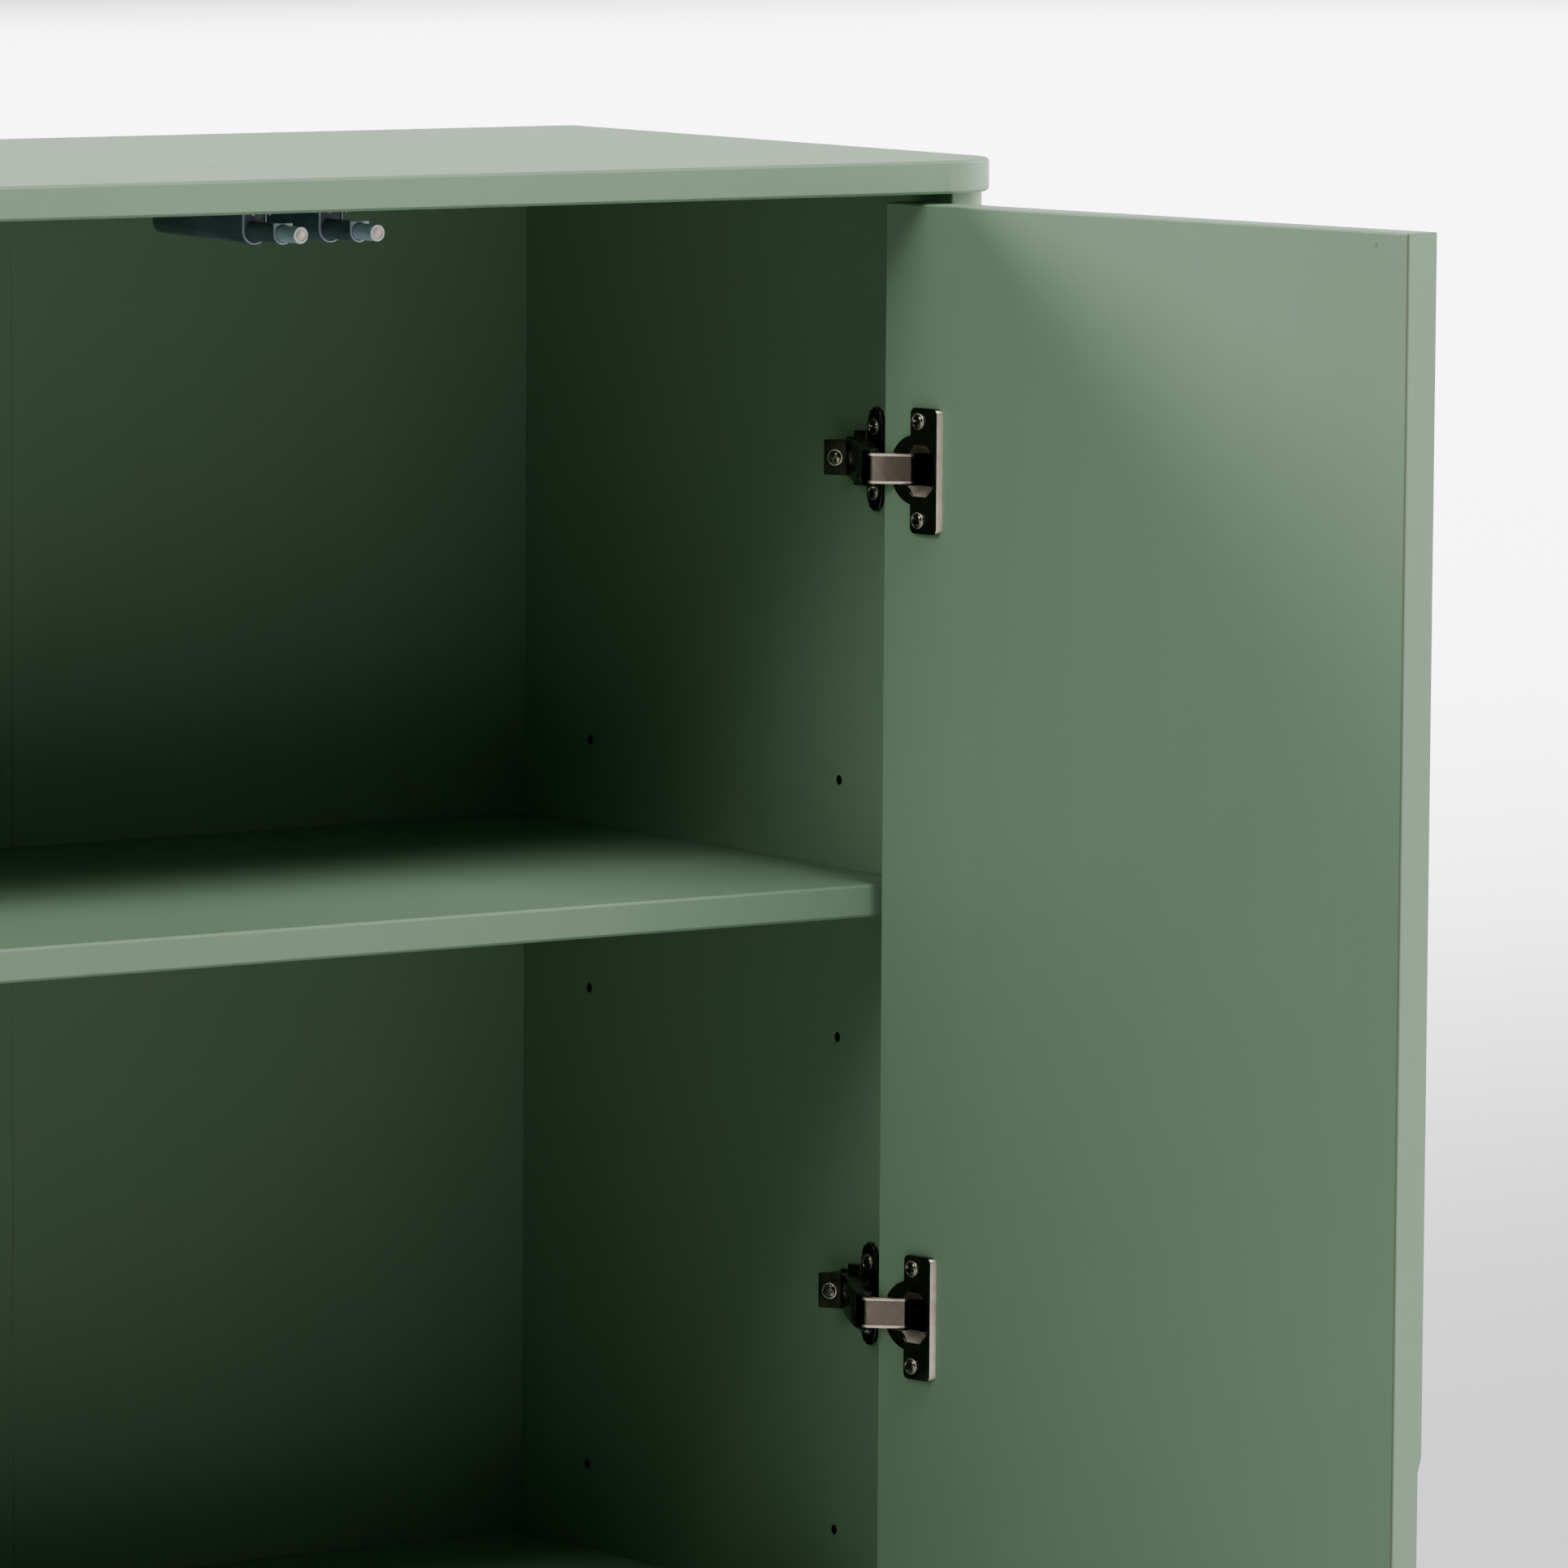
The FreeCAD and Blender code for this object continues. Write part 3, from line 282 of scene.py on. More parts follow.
def raised(corners, low, high):
    """An upright prism between two heights on an outline in the XY plane, as a piece."""
    work = bmesh.new()
    base = work.faces.new([work.verts.new((x, y, 0)) for x, y in corners])
    grown = bmesh.ops.extrude_face_region(work, geom=[base])
    moved = [part for part in grown["geom"] if isinstance(part, bmesh.types.BMVert)]
    bmesh.ops.translate(work, verts=moved, vec=(0, 0, high - low))
    bmesh.ops.translate(work, verts=work.verts, vec=(0, 0, low))
    return from_bmesh("block", work)


def box(x0, x1, y0, y1, low, high):
    """A block between three pairs of limits, as a piece."""
    return raised(((x0, y0), (x1, y0), (x1, y1), (x0, y1)), low, high)


def rounded_outline(x0, x1, y0, y1, radius, steps=7):
    """Corners of a rectangle with rounded corners."""
    corners = []
    for cx, cy, start in ((x1 - radius, y1 - radius, 0), (x0 + radius, y1 - radius, 90),
                          (x0 + radius, y0 + radius, 180), (x1 - radius, y0 + radius, 270)):
        for k in range(steps + 1):
            angle = math.radians(start + 90 * k / steps)
            corners.append((cx + radius * math.cos(angle), cy + radius * math.sin(angle)))
    return corners


def outline_u(x, half, top, centre, steps=20):
    """Corners of a U with a flat top and a round foot, as x and z."""
    foot = [(x + half * math.cos(-math.pi * k / steps),
             centre + half * math.sin(-math.pi * k / steps)) for k in range(steps + 1)]
    return [(x + half, top)] + foot + [(x - half, top)]


def channel(x, half, top, centre, start, end, end_half=None, end_centre=None):
    """A bar of that section along y; the far end may be smaller."""
    work = bmesh.new()
    near = [work.verts.new((px, start, pz)) for px, pz in outline_u(x, half, top, centre)]
    far = [work.verts.new((px, end, pz))
           for px, pz in outline_u(x, end_half or half, top, end_centre or centre)]
    work.faces.new(near)
    work.faces.new(far[::-1])
    for k in range(len(near)):
        n = (k + 1) % len(near)
        work.faces.new((near[k], far[k], far[n], near[n]))
    return from_bmesh("bar", work)


def along_y(radius, x, z, start, end):
    """A round bar along y as a piece."""
    work = revolve([(0, 0), (radius, 0), (radius, end - start), (0, end - start)], 32)
    bmesh.ops.transform(work, matrix=placed((x, start, z), (1, 0, 0), (0, 1, 0)), verts=work.verts)
    return from_bmesh("bar", work)


def placed(origin, x_axis, z_axis):
    """A matrix that carries local axes to a place; y follows from the other two."""
    z = Vector(z_axis).normalized()
    x = (Vector(x_axis) - z * Vector(x_axis).dot(z)).normalized()
    y = z.cross(x)
    turn = Matrix((x, y, z)).transposed().to_4x4()
    return Matrix.Translation(origin) @ turn


def joined(name, source, places):
    """Copies of one mesh at several places, as one piece."""
    work = bmesh.new()
    for place in places:
        before = len(work.verts)
        work.from_mesh(source)
        work.verts.ensure_lookup_table()
        bmesh.ops.transform(work, matrix=place, verts=work.verts[before:])
    return from_bmesh(name, work)


def settled(piece):
    """The piece with its modifiers applied."""
    graph = bpy.context.evaluated_depsgraph_get()
    mesh = bpy.data.meshes.new_from_object(piece.evaluated_get(graph))
    old = piece.data
    piece.modifiers.clear()
    piece.data = mesh
    bpy.data.meshes.remove(old)
    return piece


def smooth(piece, angle=35):
    """The piece shaded smooth over edges flatter than the angle, in degrees."""
    for face in piece.data.polygons:
        face.use_smooth = True
    bpy.context.view_layer.objects.active = piece
    piece.select_set(True)
    bpy.ops.object.shade_smooth_by_angle(angle=math.radians(angle))
    piece.select_set(False)
    return piece


def combined(piece, other, operation):
    """One piece changed by another, which is then removed."""
    change = piece.modifiers.new("solid", "BOOLEAN")
    change.operation = operation
    change.solver = "EXACT"
    change.object = other
    settled(piece)
    bpy.data.objects.remove(other)
    return piece


def carve(piece, cutter):
    """Cuts one piece with another and removes the cutter."""
    return combined(piece, cutter, "DIFFERENCE")


def unite(piece, other):
    """Joins another piece to this one as one solid."""
    return combined(piece, other, "UNION")


def softened(piece, width, angle, segments=3):
    """The piece with every edge rounded that is sharper than the angle, in degrees."""
    bevel = piece.modifiers.new("edges", "BEVEL")
    bevel.width = width
    bevel.segments = segments
    bevel.limit_method = "ANGLE"
    bevel.angle_limit = math.radians(angle)
    return settled(piece)


def off_row(z):
    """The height of a place above or below the middle of its hinge."""
    return min(abs(z - row) for row in HINGE_ROWS)


def rounded_copy(node, radius, tips=0.0):
    """A frame node's form with rounded edges, in its place; tips rounds a wall plate's corners."""
    work = bmesh.new()
    work.from_mesh(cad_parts[node].data)
    bmesh.ops.remove_doubles(work, verts=work.verts, dist=1e-6)
    bmesh.ops.dissolve_limit(work, angle_limit=math.radians(1.5), verts=work.verts, edges=work.edges)
    if tips:
        corners = [edge for edge in work.edges
                   if abs((edge.verts[0].co - edge.verts[1].co).normalized().x) > 0.99
                   and off_row(edge.verts[0].co.z) > 0.015]
        bmesh.ops.bevel(work, geom=corners, offset=tips, segments=5, affect="EDGES",
                        clamp_overlap=True)
    return smooth(softened(from_bmesh(node + "_form", work), radius, 32), 40)


def dress(piece, material):
    """Gives a piece one material in place of its own."""
    piece.data.materials.clear()
    piece.data.materials.append(material)


def finish_piece(piece, body, slot, material, *nodes):
    """Gives a piece its material, its body and the frame nodes that it stands for."""
    dress(piece, material)
    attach(piece, body)
    if nodes:
        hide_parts(*nodes)
    return piece


def zones_of(piece):
    """The material zone of each face."""
    return [face.material_index for face in piece.data.polygons]


def set_zones(piece, zones, *materials):
    """Adds the materials of zones 1 and up, and gives each face its zone."""
    for material in materials:
        piece.data.materials.append(material)
    piece.data.polygons.foreach_set("material_index", zones)


# Places on the doors and walls
def on_door(side, along, out, z):
    """A point of an open door by its distance from the hinge edge and out of the inner face."""
    shut = Vector((side * (DOOR_EDGE - along), INNER_FACE + out, z))
    axis = Vector((side * PIVOT[0], PIVOT[1], z))
    turn = Matrix.Rotation(side * OPEN_ANGLE, 3, "Z")
    return axis + turn @ (shut - axis)


def door_axes(side):
    """Along the open door from hinge to free edge, and out of its inner face."""
    turn = Matrix.Rotation(side * OPEN_ANGLE, 3, "Z")
    return turn @ Vector((-side, 0, 0)), turn @ Vector((0, 1, 0))


def on_wall(side, out, back, z):
    """A point by its distance out of a side's inner face and back from its front edge."""
    return Vector((side * (WALL - out), SIDE_FRONT + back, z))


# Shader nodes
def add(tree, kind, values=None, **options):
    """A shader node with plain values on its sockets and options on itself."""
    node = tree.nodes.new("ShaderNode" + kind)
    for key, value in options.items():
        setattr(node, key, value)
    for key, value in (values or {}).items():
        node.inputs[key].default_value = value
    return node


def noise(tree, coordinates, scale, detail=2.0, roughness=0.5, stretch=(1, 1, 1)):
    """Noise on object coordinates; stretch below 1 draws it out along that axis."""
    mapping = add(tree, "Mapping", {"Scale": stretch})
    tree.links.new(coordinates, mapping.inputs["Vector"])
    texture = add(tree, "TexNoise", {"Scale": scale, "Detail": detail, "Roughness": roughness})
    tree.links.new(mapping.outputs["Vector"], texture.inputs["Vector"])
    return texture.outputs["Fac"]


def to_range(tree, value, low, high, start=0.3, end=0.7):
    """A value between start and end carried to low and high."""
    ranged = add(tree, "MapRange",
                 {"From Min": start, "From Max": end, "To Min": low, "To Max": high})
    tree.links.new(value, ranged.inputs["Value"])
    return ranged.outputs["Result"]


def maths(tree, operation, first, second):
    """Arithmetic or a comparison on two values, each a socket or a plain number."""
    node = add(tree, "Math", operation=operation)
    for socket, value in zip(node.inputs, (first, second)):
        if isinstance(value, (int, float)):
            socket.default_value = value
        else:
            tree.links.new(value, socket)
    return node.outputs["Value"]


def absolute(tree, value):
    """The value without its sign."""
    node = add(tree, "Math", operation="ABSOLUTE")
    tree.links.new(value, node.inputs[0])
    return node.outputs["Value"]


def mixed(tree, factor, first, second, blend="MIX"):
    """Mix of two colours, each a socket or a plain value."""
    node = add(tree, "Mix", data_type="RGBA", blend_type=blend)
    sockets = (node.inputs[0], node.inputs[6], node.inputs[7])
    for socket, value in zip(sockets, (factor, first, second)):
        if isinstance(value, bpy.types.NodeSocket):
            tree.links.new(value, socket)
        else:
            socket.default_value = value
    return node.outputs[2]


def bump(tree, height, distance, radius=None):
    """A normal from a height; a radius also rounds the edges in shading."""
    node = add(tree, "Bump", {"Strength": 1.0, "Distance": distance})
    tree.links.new(height, node.inputs["Height"])
    if radius:
        edge = add(tree, "Bevel", {"Radius": radius}, samples=6)
        tree.links.new(edge.outputs["Normal"], node.inputs["Normal"])
    return node.outputs["Normal"]


def between(tree, value, low, high):
    """1 where a value lies between two limits."""
    above = maths(tree, "GREATER_THAN", value, low)
    below = maths(tree, "LESS_THAN", value, high)
    return maths(tree, "MULTIPLY", above, below)


def measured(tree, place, axis, origin):
    """The distance of the shaded point along an axis from an origin."""
    product = add(tree, "VectorMath", operation="DOT_PRODUCT")
    product.inputs[1].default_value = axis
    tree.links.new(place, product.inputs[0])
    return maths(tree, "SUBTRACT", product.outputs["Value"], origin.dot(axis))


# Looks shared by the materials
def new_look(name):
    """A shader group with the sockets of every look, and its object coordinates."""
    group = bpy.data.node_groups.new(name, "ShaderNodeTree")
    for label, way, kind in (("Colour", "INPUT", "Color"), ("Roughness", "INPUT", "Float"),
                             ("Colour", "OUTPUT", "Color"), ("Roughness", "OUTPUT", "Float"),
                             ("Normal", "OUTPUT", "Vector")):
        group.interface.new_socket(name=label, in_out=way, socket_type="NodeSocket" + kind)
    source = group.nodes.new("NodeGroupInput")
    return group, source.outputs, add(group, "TexCoord").outputs["Object"]


def close_look(group, colour, roughness, normal):
    """Links the group's results and returns it."""
    result = group.nodes.new("NodeGroupOutput")
    for label, value in (("Colour", colour), ("Roughness", roughness), ("Normal", normal)):
        group.links.new(value, result.inputs[label])
    return group


def lacquer_group():
    """Sprayed lacquer: slight changes of shade, roller bands, orange peel, rounded arrises."""
    group, source, place = new_look("Sprayed lacquer")
    cloud = to_range(group, noise(group, place, 3.5, 3.0), 0.965, 1.035)
    bands = to_range(group, noise(group, place, 60.0, 1.0, stretch=(1, 1, 0.02)), 0.992, 1.008)
    shade = maths(group, "MULTIPLY", cloud, bands)
    grey = add(group, "CombineColor")
    for socket in grey.inputs:
        group.links.new(shade, socket)
    colour = mixed(group, 1.0, source["Colour"], grey.outputs["Color"], "MULTIPLY")
    dust = to_range(group, noise(group, place, 900.0, 1.0), 0.0, 0.12, 0.74, 0.8)
    colour = mixed(group, dust, colour, (0.55, 0.6, 0.52, 1))
    haze = to_range(group, noise(group, place, 9.0, 4.0), -0.03, 0.03)
    rough = maths(group, "ADD", source["Roughness"], haze)
    fine = noise(group, place, 420.0, 3.0, 0.6)
    depth = bpy.context.scene.cupboard_paint.peel
    return close_look(group, colour, rough, bump(group, fine, depth, 0.0008))


def nickel_group():
    """Barrel-plated pressed sheet: faint mottling, fine rub marks and waves."""
    group, source, place = new_look("Plated sheet")
    mottle = to_range(group, noise(group, place, 160.0, 3.0), 0.0, 0.35)
    colour = mixed(group, mottle, source["Colour"], (0.18, 0.14, 0.11, 1))
    rubs = to_range(group, noise(group, place, 300.0, 3.0), -0.03, 0.04)
    rough = maths(group, "ADD", source["Roughness"], rubs)
    waves = noise(group, place, 90.0, 1.0)
    return close_look(group, colour, rough, bump(group, waves, 0.00002))


def plastic_group():
    """Moulded plastic: faint flow marks, a fine eroded skin and rounded arrises."""
    group, source, place = new_look("Moulded skin")
    flow = to_range(group, noise(group, place, 120.0, 3.0, stretch=(1, 0.2, 1)), 0.0, 0.25)
    colour = mixed(group, flow, source["Colour"], (0.35, 0.42, 0.5, 1))
    rough = maths(group, "ADD", source["Roughness"], to_range(group, flow, -0.05, 0.05))
    skin = noise(group, place, 3000.0, 2.0)
    return close_look(group, colour, rough, bump(group, skin, 0.00002, 0.0003))


def surface(name, group, colour, roughness, metallic=0.0, **extra):
    """A material whose look comes from a shared group."""
    material = bpy.data.materials.new(name)
    material.use_nodes = True
    tree = material.node_tree
    shader = tree.nodes["Principled BSDF"]
    shader.inputs["Metallic"].default_value = metallic
    for key, value in extra.items():
        shader.inputs[key.replace("_", " ")].default_value = value
    effect = add(tree, "Group", {"Colour": (*colour, 1), "Roughness": roughness}, node_tree=group)
    for socket, target in (("Colour", "Base Color"), ("Roughness", "Roughness"),
                           ("Normal", "Normal")):
        tree.links.new(effect.outputs[socket], shader.inputs[target])
    return material


def recolour(material, mask, colour):
    """Blends a second colour into a material's base colour."""
    tree = material.node_tree
    target = tree.nodes["Principled BSDF"].inputs["Base Color"]
    first = target.links[0].from_socket
    tree.links.new(mixed(tree, mask, first, colour), target)


def get_group(name, make):
    """The shared group of that name, made at its first use."""
    return bpy.data.node_groups.get(name) or make()


def lacquer(name, roughness=None):
    """Lacquer after the settings; thin boards have a roughness of their own."""
    paint = bpy.context.scene.cupboard_paint
    return surface(name, get_group("Sprayed lacquer", lacquer_group), paint.colour,
                   paint.roughness if roughness is None else roughness, Specular_IOR_Level=0.36)


def nickel(name, colour, roughness):
    """Plated metal in one colour."""
    return surface(name, get_group("Plated sheet", nickel_group), colour, roughness, metallic=1.0)


def moulded(name, colour, roughness, **extra):
    """Plastic in one colour; extra holds further values of the shader."""
    return surface(name, get_group("Moulded skin", plastic_group), colour, roughness, **extra)


# Boards and doors
class CUPBOARD_OT_boards(bpy.types.Operator):
    """Lacquer on the boards, raw board darkened with painted shade inside the shelf holes"""
    bl_idname = "cupboard.boards"
    bl_label = "Boards"

    def execute(self, context):
        plain = lacquer("Lacquered board")
        walls = lacquer("Lacquered wall")
        tree = walls.node_tree
        axes = add(tree, "SeparateXYZ")
        tree.links.new(add(tree, "TexCoord").outputs["Object"], axes.inputs["Vector"])
        across = absolute(tree, axes.outputs["X"])
        inside = maths(tree, "MULTIPLY",
                       between(tree, across, WALL + HOLE_DEPTH[0], WALL + HOLE_DEPTH[1]),
                       between(tree, axes.outputs["Y"], *HOLE_Y))
        inside = maths(tree, "MULTIPLY", inside, between(tree, axes.outputs["Z"], *HOLE_Z))
        # The holes get raw board darkened with painted shade
        recolour(walls, inside, RAW_BOARD_AND_SHADE)
        thin = lacquer("Lacquered thin board", 0.5)
        for node in BOARDS:
            dress(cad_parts[node], walls if "side_panel" in node else plain)
        for node in THIN_BOARDS:
            dress(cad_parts[node], thin)
        return {"FINISHED"}


class CUPBOARD_OT_doors(bpy.types.Operator):
    """Lacquer on the doors, with the glue line of the edging along the free edge"""
    bl_idname = "cupboard.doors"
    bl_label = "Doors"

    def execute(self, context):
        for name, side in SIDES:
            paint = lacquer("Lacquered door " + name)
            tree = paint.node_tree
            along, out = door_axes(side)
            origin = on_door(side, 0, 0, 0)
            place = add(tree, "TexCoord").outputs["Object"]
            line = maths(tree, "MULTIPLY",
                         between(tree, measured(tree, place, along, origin), *GLUE_LINE),
                         between(tree, measured(tree, place, out, origin), *GLUE_FACE))
            recolour(paint, maths(tree, "MULTIPLY", line, 0.55), GLUE)
            dress(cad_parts[name + "_door"], paint)
            spot = placed(on_door(side, LATCH_HOLE, 0, LATCH_Z), along, out)
            filled = joined(name + "_hole_paint", mesh_of(revolve(PAINT_PROFILE, 24)), [spot])
            finish_piece(smooth(filled), name + "_door", "satin_green_paint", paint)
        return {"FINISHED"}


# Hinges
def cross_head():
    """A pan head with a rim, a groove and a cross recess, underside at z = 0; zone 1 is its rim,
    which gets a painted highlight.
    """
    head = from_bmesh("screw_head_form", revolve(SCREW_PROFILE, 40))
    foot, mouth = (0.0030, 0.0007, 0.0003), (0.0062, 0.0013, 0.0022)
    for turn in (0, 90):
        wedge = bmesh.new()
        bmesh.ops.create_cube(wedge, size=1.0)
        for vertex in wedge.verts:
            length, width, height = foot if vertex.co.z < 0 else mouth
            vertex.co = (vertex.co.x * length, vertex.co.y * width, height)
        bmesh.ops.rotate(wedge, verts=wedge.verts,
                         matrix=Matrix.Rotation(math.radians(turn), 3, "Z"))
        carve(head, from_bmesh("recess", wedge))
    mesh = head.data
    for face in mesh.polygons:
        on_highlight_rim = math.hypot(face.center.x, face.center.y) > SCREW_HIGHLIGHT_RIM and face.normal.z > 0.2
        face.material_index = 1 if on_highlight_rim else 0
    bpy.data.objects.remove(head)
    return mesh


def cup_solid(edge):
    """Pot, flange, octagonal mouth and slot for the link, with rounded edges."""
    pot = revolve([(0, POT_FLOOR), (POT_RADIUS, POT_FLOOR), (POT_RADIUS, 0.001), (0, 0.001)], 72)
    bmesh.ops.translate(pot, verts=pot.verts, vec=(POT_AXIS, 0, 0))
    cup = from_bmesh("cup", pot)
    carve(cup, box(FLANGE_END, 0.050, -0.02, 0.02, 0.0, 0.01))
    flange = raised(rounded_outline(FLANGE_START, FLANGE_END, -FLANGE_HALF, FLANGE_HALF,
                                    FLANGE_CORNER), 0.0, FLANGE_TOP)
    for vertex in flange.data.vertices:
        if vertex.co.z < 0.001:
            vertex.co.x += FLANGE_DRAFT * max(0.0, (vertex.co.x - 0.036) / FLANGE_CORNER)
    unite(cup, flange)
    outline = [*MOUTH, *((x, -y) for x, y in reversed(MOUTH)), (0.0057, -SLOT_HALF),
               (0.0057, SLOT_HALF)]
    carve(cup, raised(outline, MOUTH_FLOOR, 0.006))
    carve(cup, box(0.0, SLOT_END, -SLOT_HALF, SLOT_HALF, 0.0, 0.006))
    return softened(cup, edge, 40)


def add_throats(work):
    """The sloping faces above and below the link: two wedges inside the mouth."""
    for end in (-1, 1):
        rings = []
        for (rim_x, rim_y), (foot_x, foot_y) in zip(THROAT_RIM, THROAT_FOOT):
            top = THROAT_SLOT_TOP if rim_x < FLANGE_START else THROAT_TOP
            ring = ((rim_x, rim_y, top), (foot_x, foot_y, THROAT_EDGE),
                    (foot_x, foot_y, THROAT_BASE), (rim_x, rim_y, THROAT_BASE))
            rings.append([work.verts.new((x, end * y, z)) for x, y, z in ring])
        sides = [work.faces.new(rings[0]), work.faces.new(rings[-1][::-1])]
        for first, second in zip(rings, rings[1:]):
            for k in range(4):
                n = (k + 1) % 4
                sides.append(work.faces.new((first[k], first[n], second[n], second[k])))
        bmesh.ops.recalc_face_normals(work, faces=sides)


def cup_mesh(edge):
    """A hinge cup; zone 1 is its edges with a painted highlight, 2 the lower throat with a painted
    highlight and 3 the upper throat with painted shade.
    """
    solid = cup_solid(edge)
    work = bmesh.new()
    work.from_mesh(solid.data)
    bpy.data.objects.remove(solid)
    add_throats(work)
    cup = mesh_of(work)
    for face in cup.polygons:
        spot, normal = face.center, face.normal
        reach = MOUTH_REACH - max(0.0, MOUTH[1][0] - spot.x) - max(0.0, spot.x - MOUTH[2][0])
        in_mouth = (MOUTH_BAND < abs(spot.y) < reach and MOUTH_ENDS[0] < spot.x < MOUTH_ENDS[1]
                    and 0.1 < normal.z < 0.98)
        on_flange_end = spot.x > FLANGE_HIGHLIGHT_RIM and normal.x > 0.3 and spot.z > 0.0009
        # The far rim of the flange and the lower lip of the mouth get a painted highlight; the lower
        # throat a painted highlight and the upper throat painted shade
        if on_flange_end or (in_mouth and spot.z > 0 and spot.y < 0):
            face.material_index = 1
        elif in_mouth and spot.z < 0:
            face.material_index = 2 if spot.y < 0 else 3
    return cup


def hinge_metals(metal):
    """The metals of a hinge by the part that wears them; edge and throat hold painted highlights,
    shade holds painted shade.
    """
    return {
        "cup": nickel("Dark nickel plate", [0.32 * part for part in metal.dark], 0.2),
        "arm": nickel("Black nickel plate", [0.11 * part for part in metal.dark], 0.26),
        "edge": nickel("Bright nickel edge", EDGE_HIGHLIGHT_METAL, 0.42),
        "throat": nickel("Bright nickel throat", THROAT_HIGHLIGHT_METAL, 0.50),
        "shade": nickel("Brown nickel throat", THROAT_PAINTED_SHADE, 0.40),
        "link": nickel("Bright nickel plate", metal.link, 0.28),
        "screw": nickel("Nickel screw", [0.42 * part for part in metal.bright], 0.14)}


def add_cups(name, side, cup, metals):
    """The three cups of a door."""
    along, out = door_axes(side)
    places = [placed(on_door(side, 0, 0, z), along, out) for z in HINGE_ROWS]
    cups = smooth(joined(name + "_hinge_cups_form", cup, places), 30)
    zones = zones_of(cups)
    finish_piece(cups, name + "_door", "black_nickel", metals["cup"], name + "_hinge_cups")
    # Zones 1 and 2 carry painted highlights, zone 3 painted shade
    set_zones(cups, zones, metals["edge"], metals["throat"], metals["shade"])


def add_sheets(name, edge, metals):
    """Arms, mounting plates, links and pins after the frame's own forms, with rounded edges; the
    links get a painted highlight on their borders.
    """
    for node in ("hinge_arms", "mounting_plates"):
        full = name + "_" + node
        form = rounded_copy(full, edge, PLATE_TIP if node == "mounting_plates" else 0.0)
        finish_piece(form, "carcass", "black_nickel", metals["arm"], full)
    link = rounded_copy(name + "_hinge_links", edge * 2.0)
    finish_piece(link, name + "_links", "bright_nickel", metals["link"], name + "_hinge_links")
    work = bmesh.new()
    work.from_mesh(link.data)
    for z in HINGE_ROWS:
        for band in (-LINK_HIGHLIGHT_LIMIT, LINK_HIGHLIGHT_LIMIT):
            bmesh.ops.bisect_plane(work, geom=work.verts[:] + work.edges[:] + work.faces[:],
                                   plane_co=(0, 0, z + band), plane_no=UP)
    work.to_mesh(link.data)
    work.free()
    # The link's borders above and below the band get a painted highlight
    zones = [1 if off_row(face.center.z) > LINK_HIGHLIGHT_LIMIT else 0 for face in link.data.polygons]
    set_zones(link, zones, metals["edge"])
    for node, body in (("arm_pins", "carcass"), ("cup_pins", name + "_door")):
        full = name + "_" + node
        finish_piece(rounded_copy(full, 0.00025), body, "black_nickel", metals["cup"], full)


def add_bosses(name, side, metals):
    """The block in the middle of each mounting plate, and the rivet heads of each arm."""
    boss = raised([(x, -side * y) for x, y in BOSS_SECTION], -BOSS_HALF, BOSS_HALF)
    places = [placed(on_wall(side, 0, 0, z), (-side, 0, 0), UP) for z in HINGE_ROWS]
    blocks = joined(name + "_plate_bosses", boss.data, places)
    bpy.data.objects.remove(boss)
    blocks = smooth(softened(blocks, 0.0014, 30))
    finish_piece(blocks, "carcass", "black_nickel", metals["arm"])
    out, back, off = ARM_RIVET
    places = [placed(on_wall(side, out, back, z + end * off), (1, 0, 0), UP * end)
              for z in HINGE_ROWS for end in (-1, 1)]
    rivets = joined(name + "_arm_rivets", mesh_of(revolve(RIVET_PROFILE, 24)), places)
    finish_piece(smooth(rivets), "carcass", "screw_nickel", metals["screw"])


def screw_places(side):
    """Places of the heads on the cups, plates and arms, each turned a little differently."""
    along, out = door_axes(side)
    wall_out = Vector((-side, 0, 0))
    low, rear = (on_wall(side, *corner, 0) for corner in ARM_BLOCK)
    arm_out = (low - rear).normalized().cross(UP) * side
    cups, plates, arms = [], [], []
    for index, z in enumerate(HINGE_ROWS):
        for end in (-1, 1):
            spin = Matrix.Rotation(0.5 + 1.3 * index + end, 4, "Z")
            spot = on_door(side, CUP_SCREW[0], FLANGE_TOP, z + end * CUP_SCREW[1])
            cups.append(placed(spot, along, out) @ spin)
            spot = on_wall(side, PLATE_SCREW[0], PLATE_SCREW[1], z + end * PLATE_SCREW[2])
            plates.append(placed(spot, UP, wall_out) @ spin)
        seat = (low + rear) * 0.5 + UP * z
        arms.append(placed(seat, UP, arm_out) @ Matrix.Rotation(0.4 + index, 4, "Z"))
    return cups, plates, arms


class CUPBOARD_OT_hinges(bpy.types.Operator):
    """Cup hinges: plated cups, arms, links and plates with pan-head screws"""
    bl_idname = "cupboard.hinges"
    bl_label = "Hinges"

    def execute(self, context):
        settings = context.scene.cupboard_metal
        metals = hinge_metals(settings)
        cup = cup_mesh(settings.edge)
        head = cross_head()
        for name, side in SIDES:
            add_cups(name, side, cup, metals)
            add_sheets(name, settings.edge, metals)
            add_bosses(name, side, metals)
            cups, plates, arms = screw_places(side)
            for node, body, places in (("cup_screws", name + "_door", cups),
                                       ("plate_screws", "carcass", plates),
                                       ("arm_screws", "carcass", arms)):
                full = name + "_" + node
                heads = smooth(joined(full + "_heads", head, places), 30)
                zones = zones_of(heads)
                finish_piece(heads, body, "screw_nickel", metals["screw"], full)
                # The rims of the heads get a painted highlight
                set_zones(heads, zones, metals["edge"])
        return {"FINISHED"}


# Latches
def turned_part(name, profile, x):
    """A solid of revolution about a latch's axis, measured from the plunger's tip."""
    axis = placed((x, PLUNGER_TIP, LATCH_Z), (1, 0, 0), (0, 1, 0))
    return smooth(joined(name, mesh_of(revolve(profile)), [axis]))


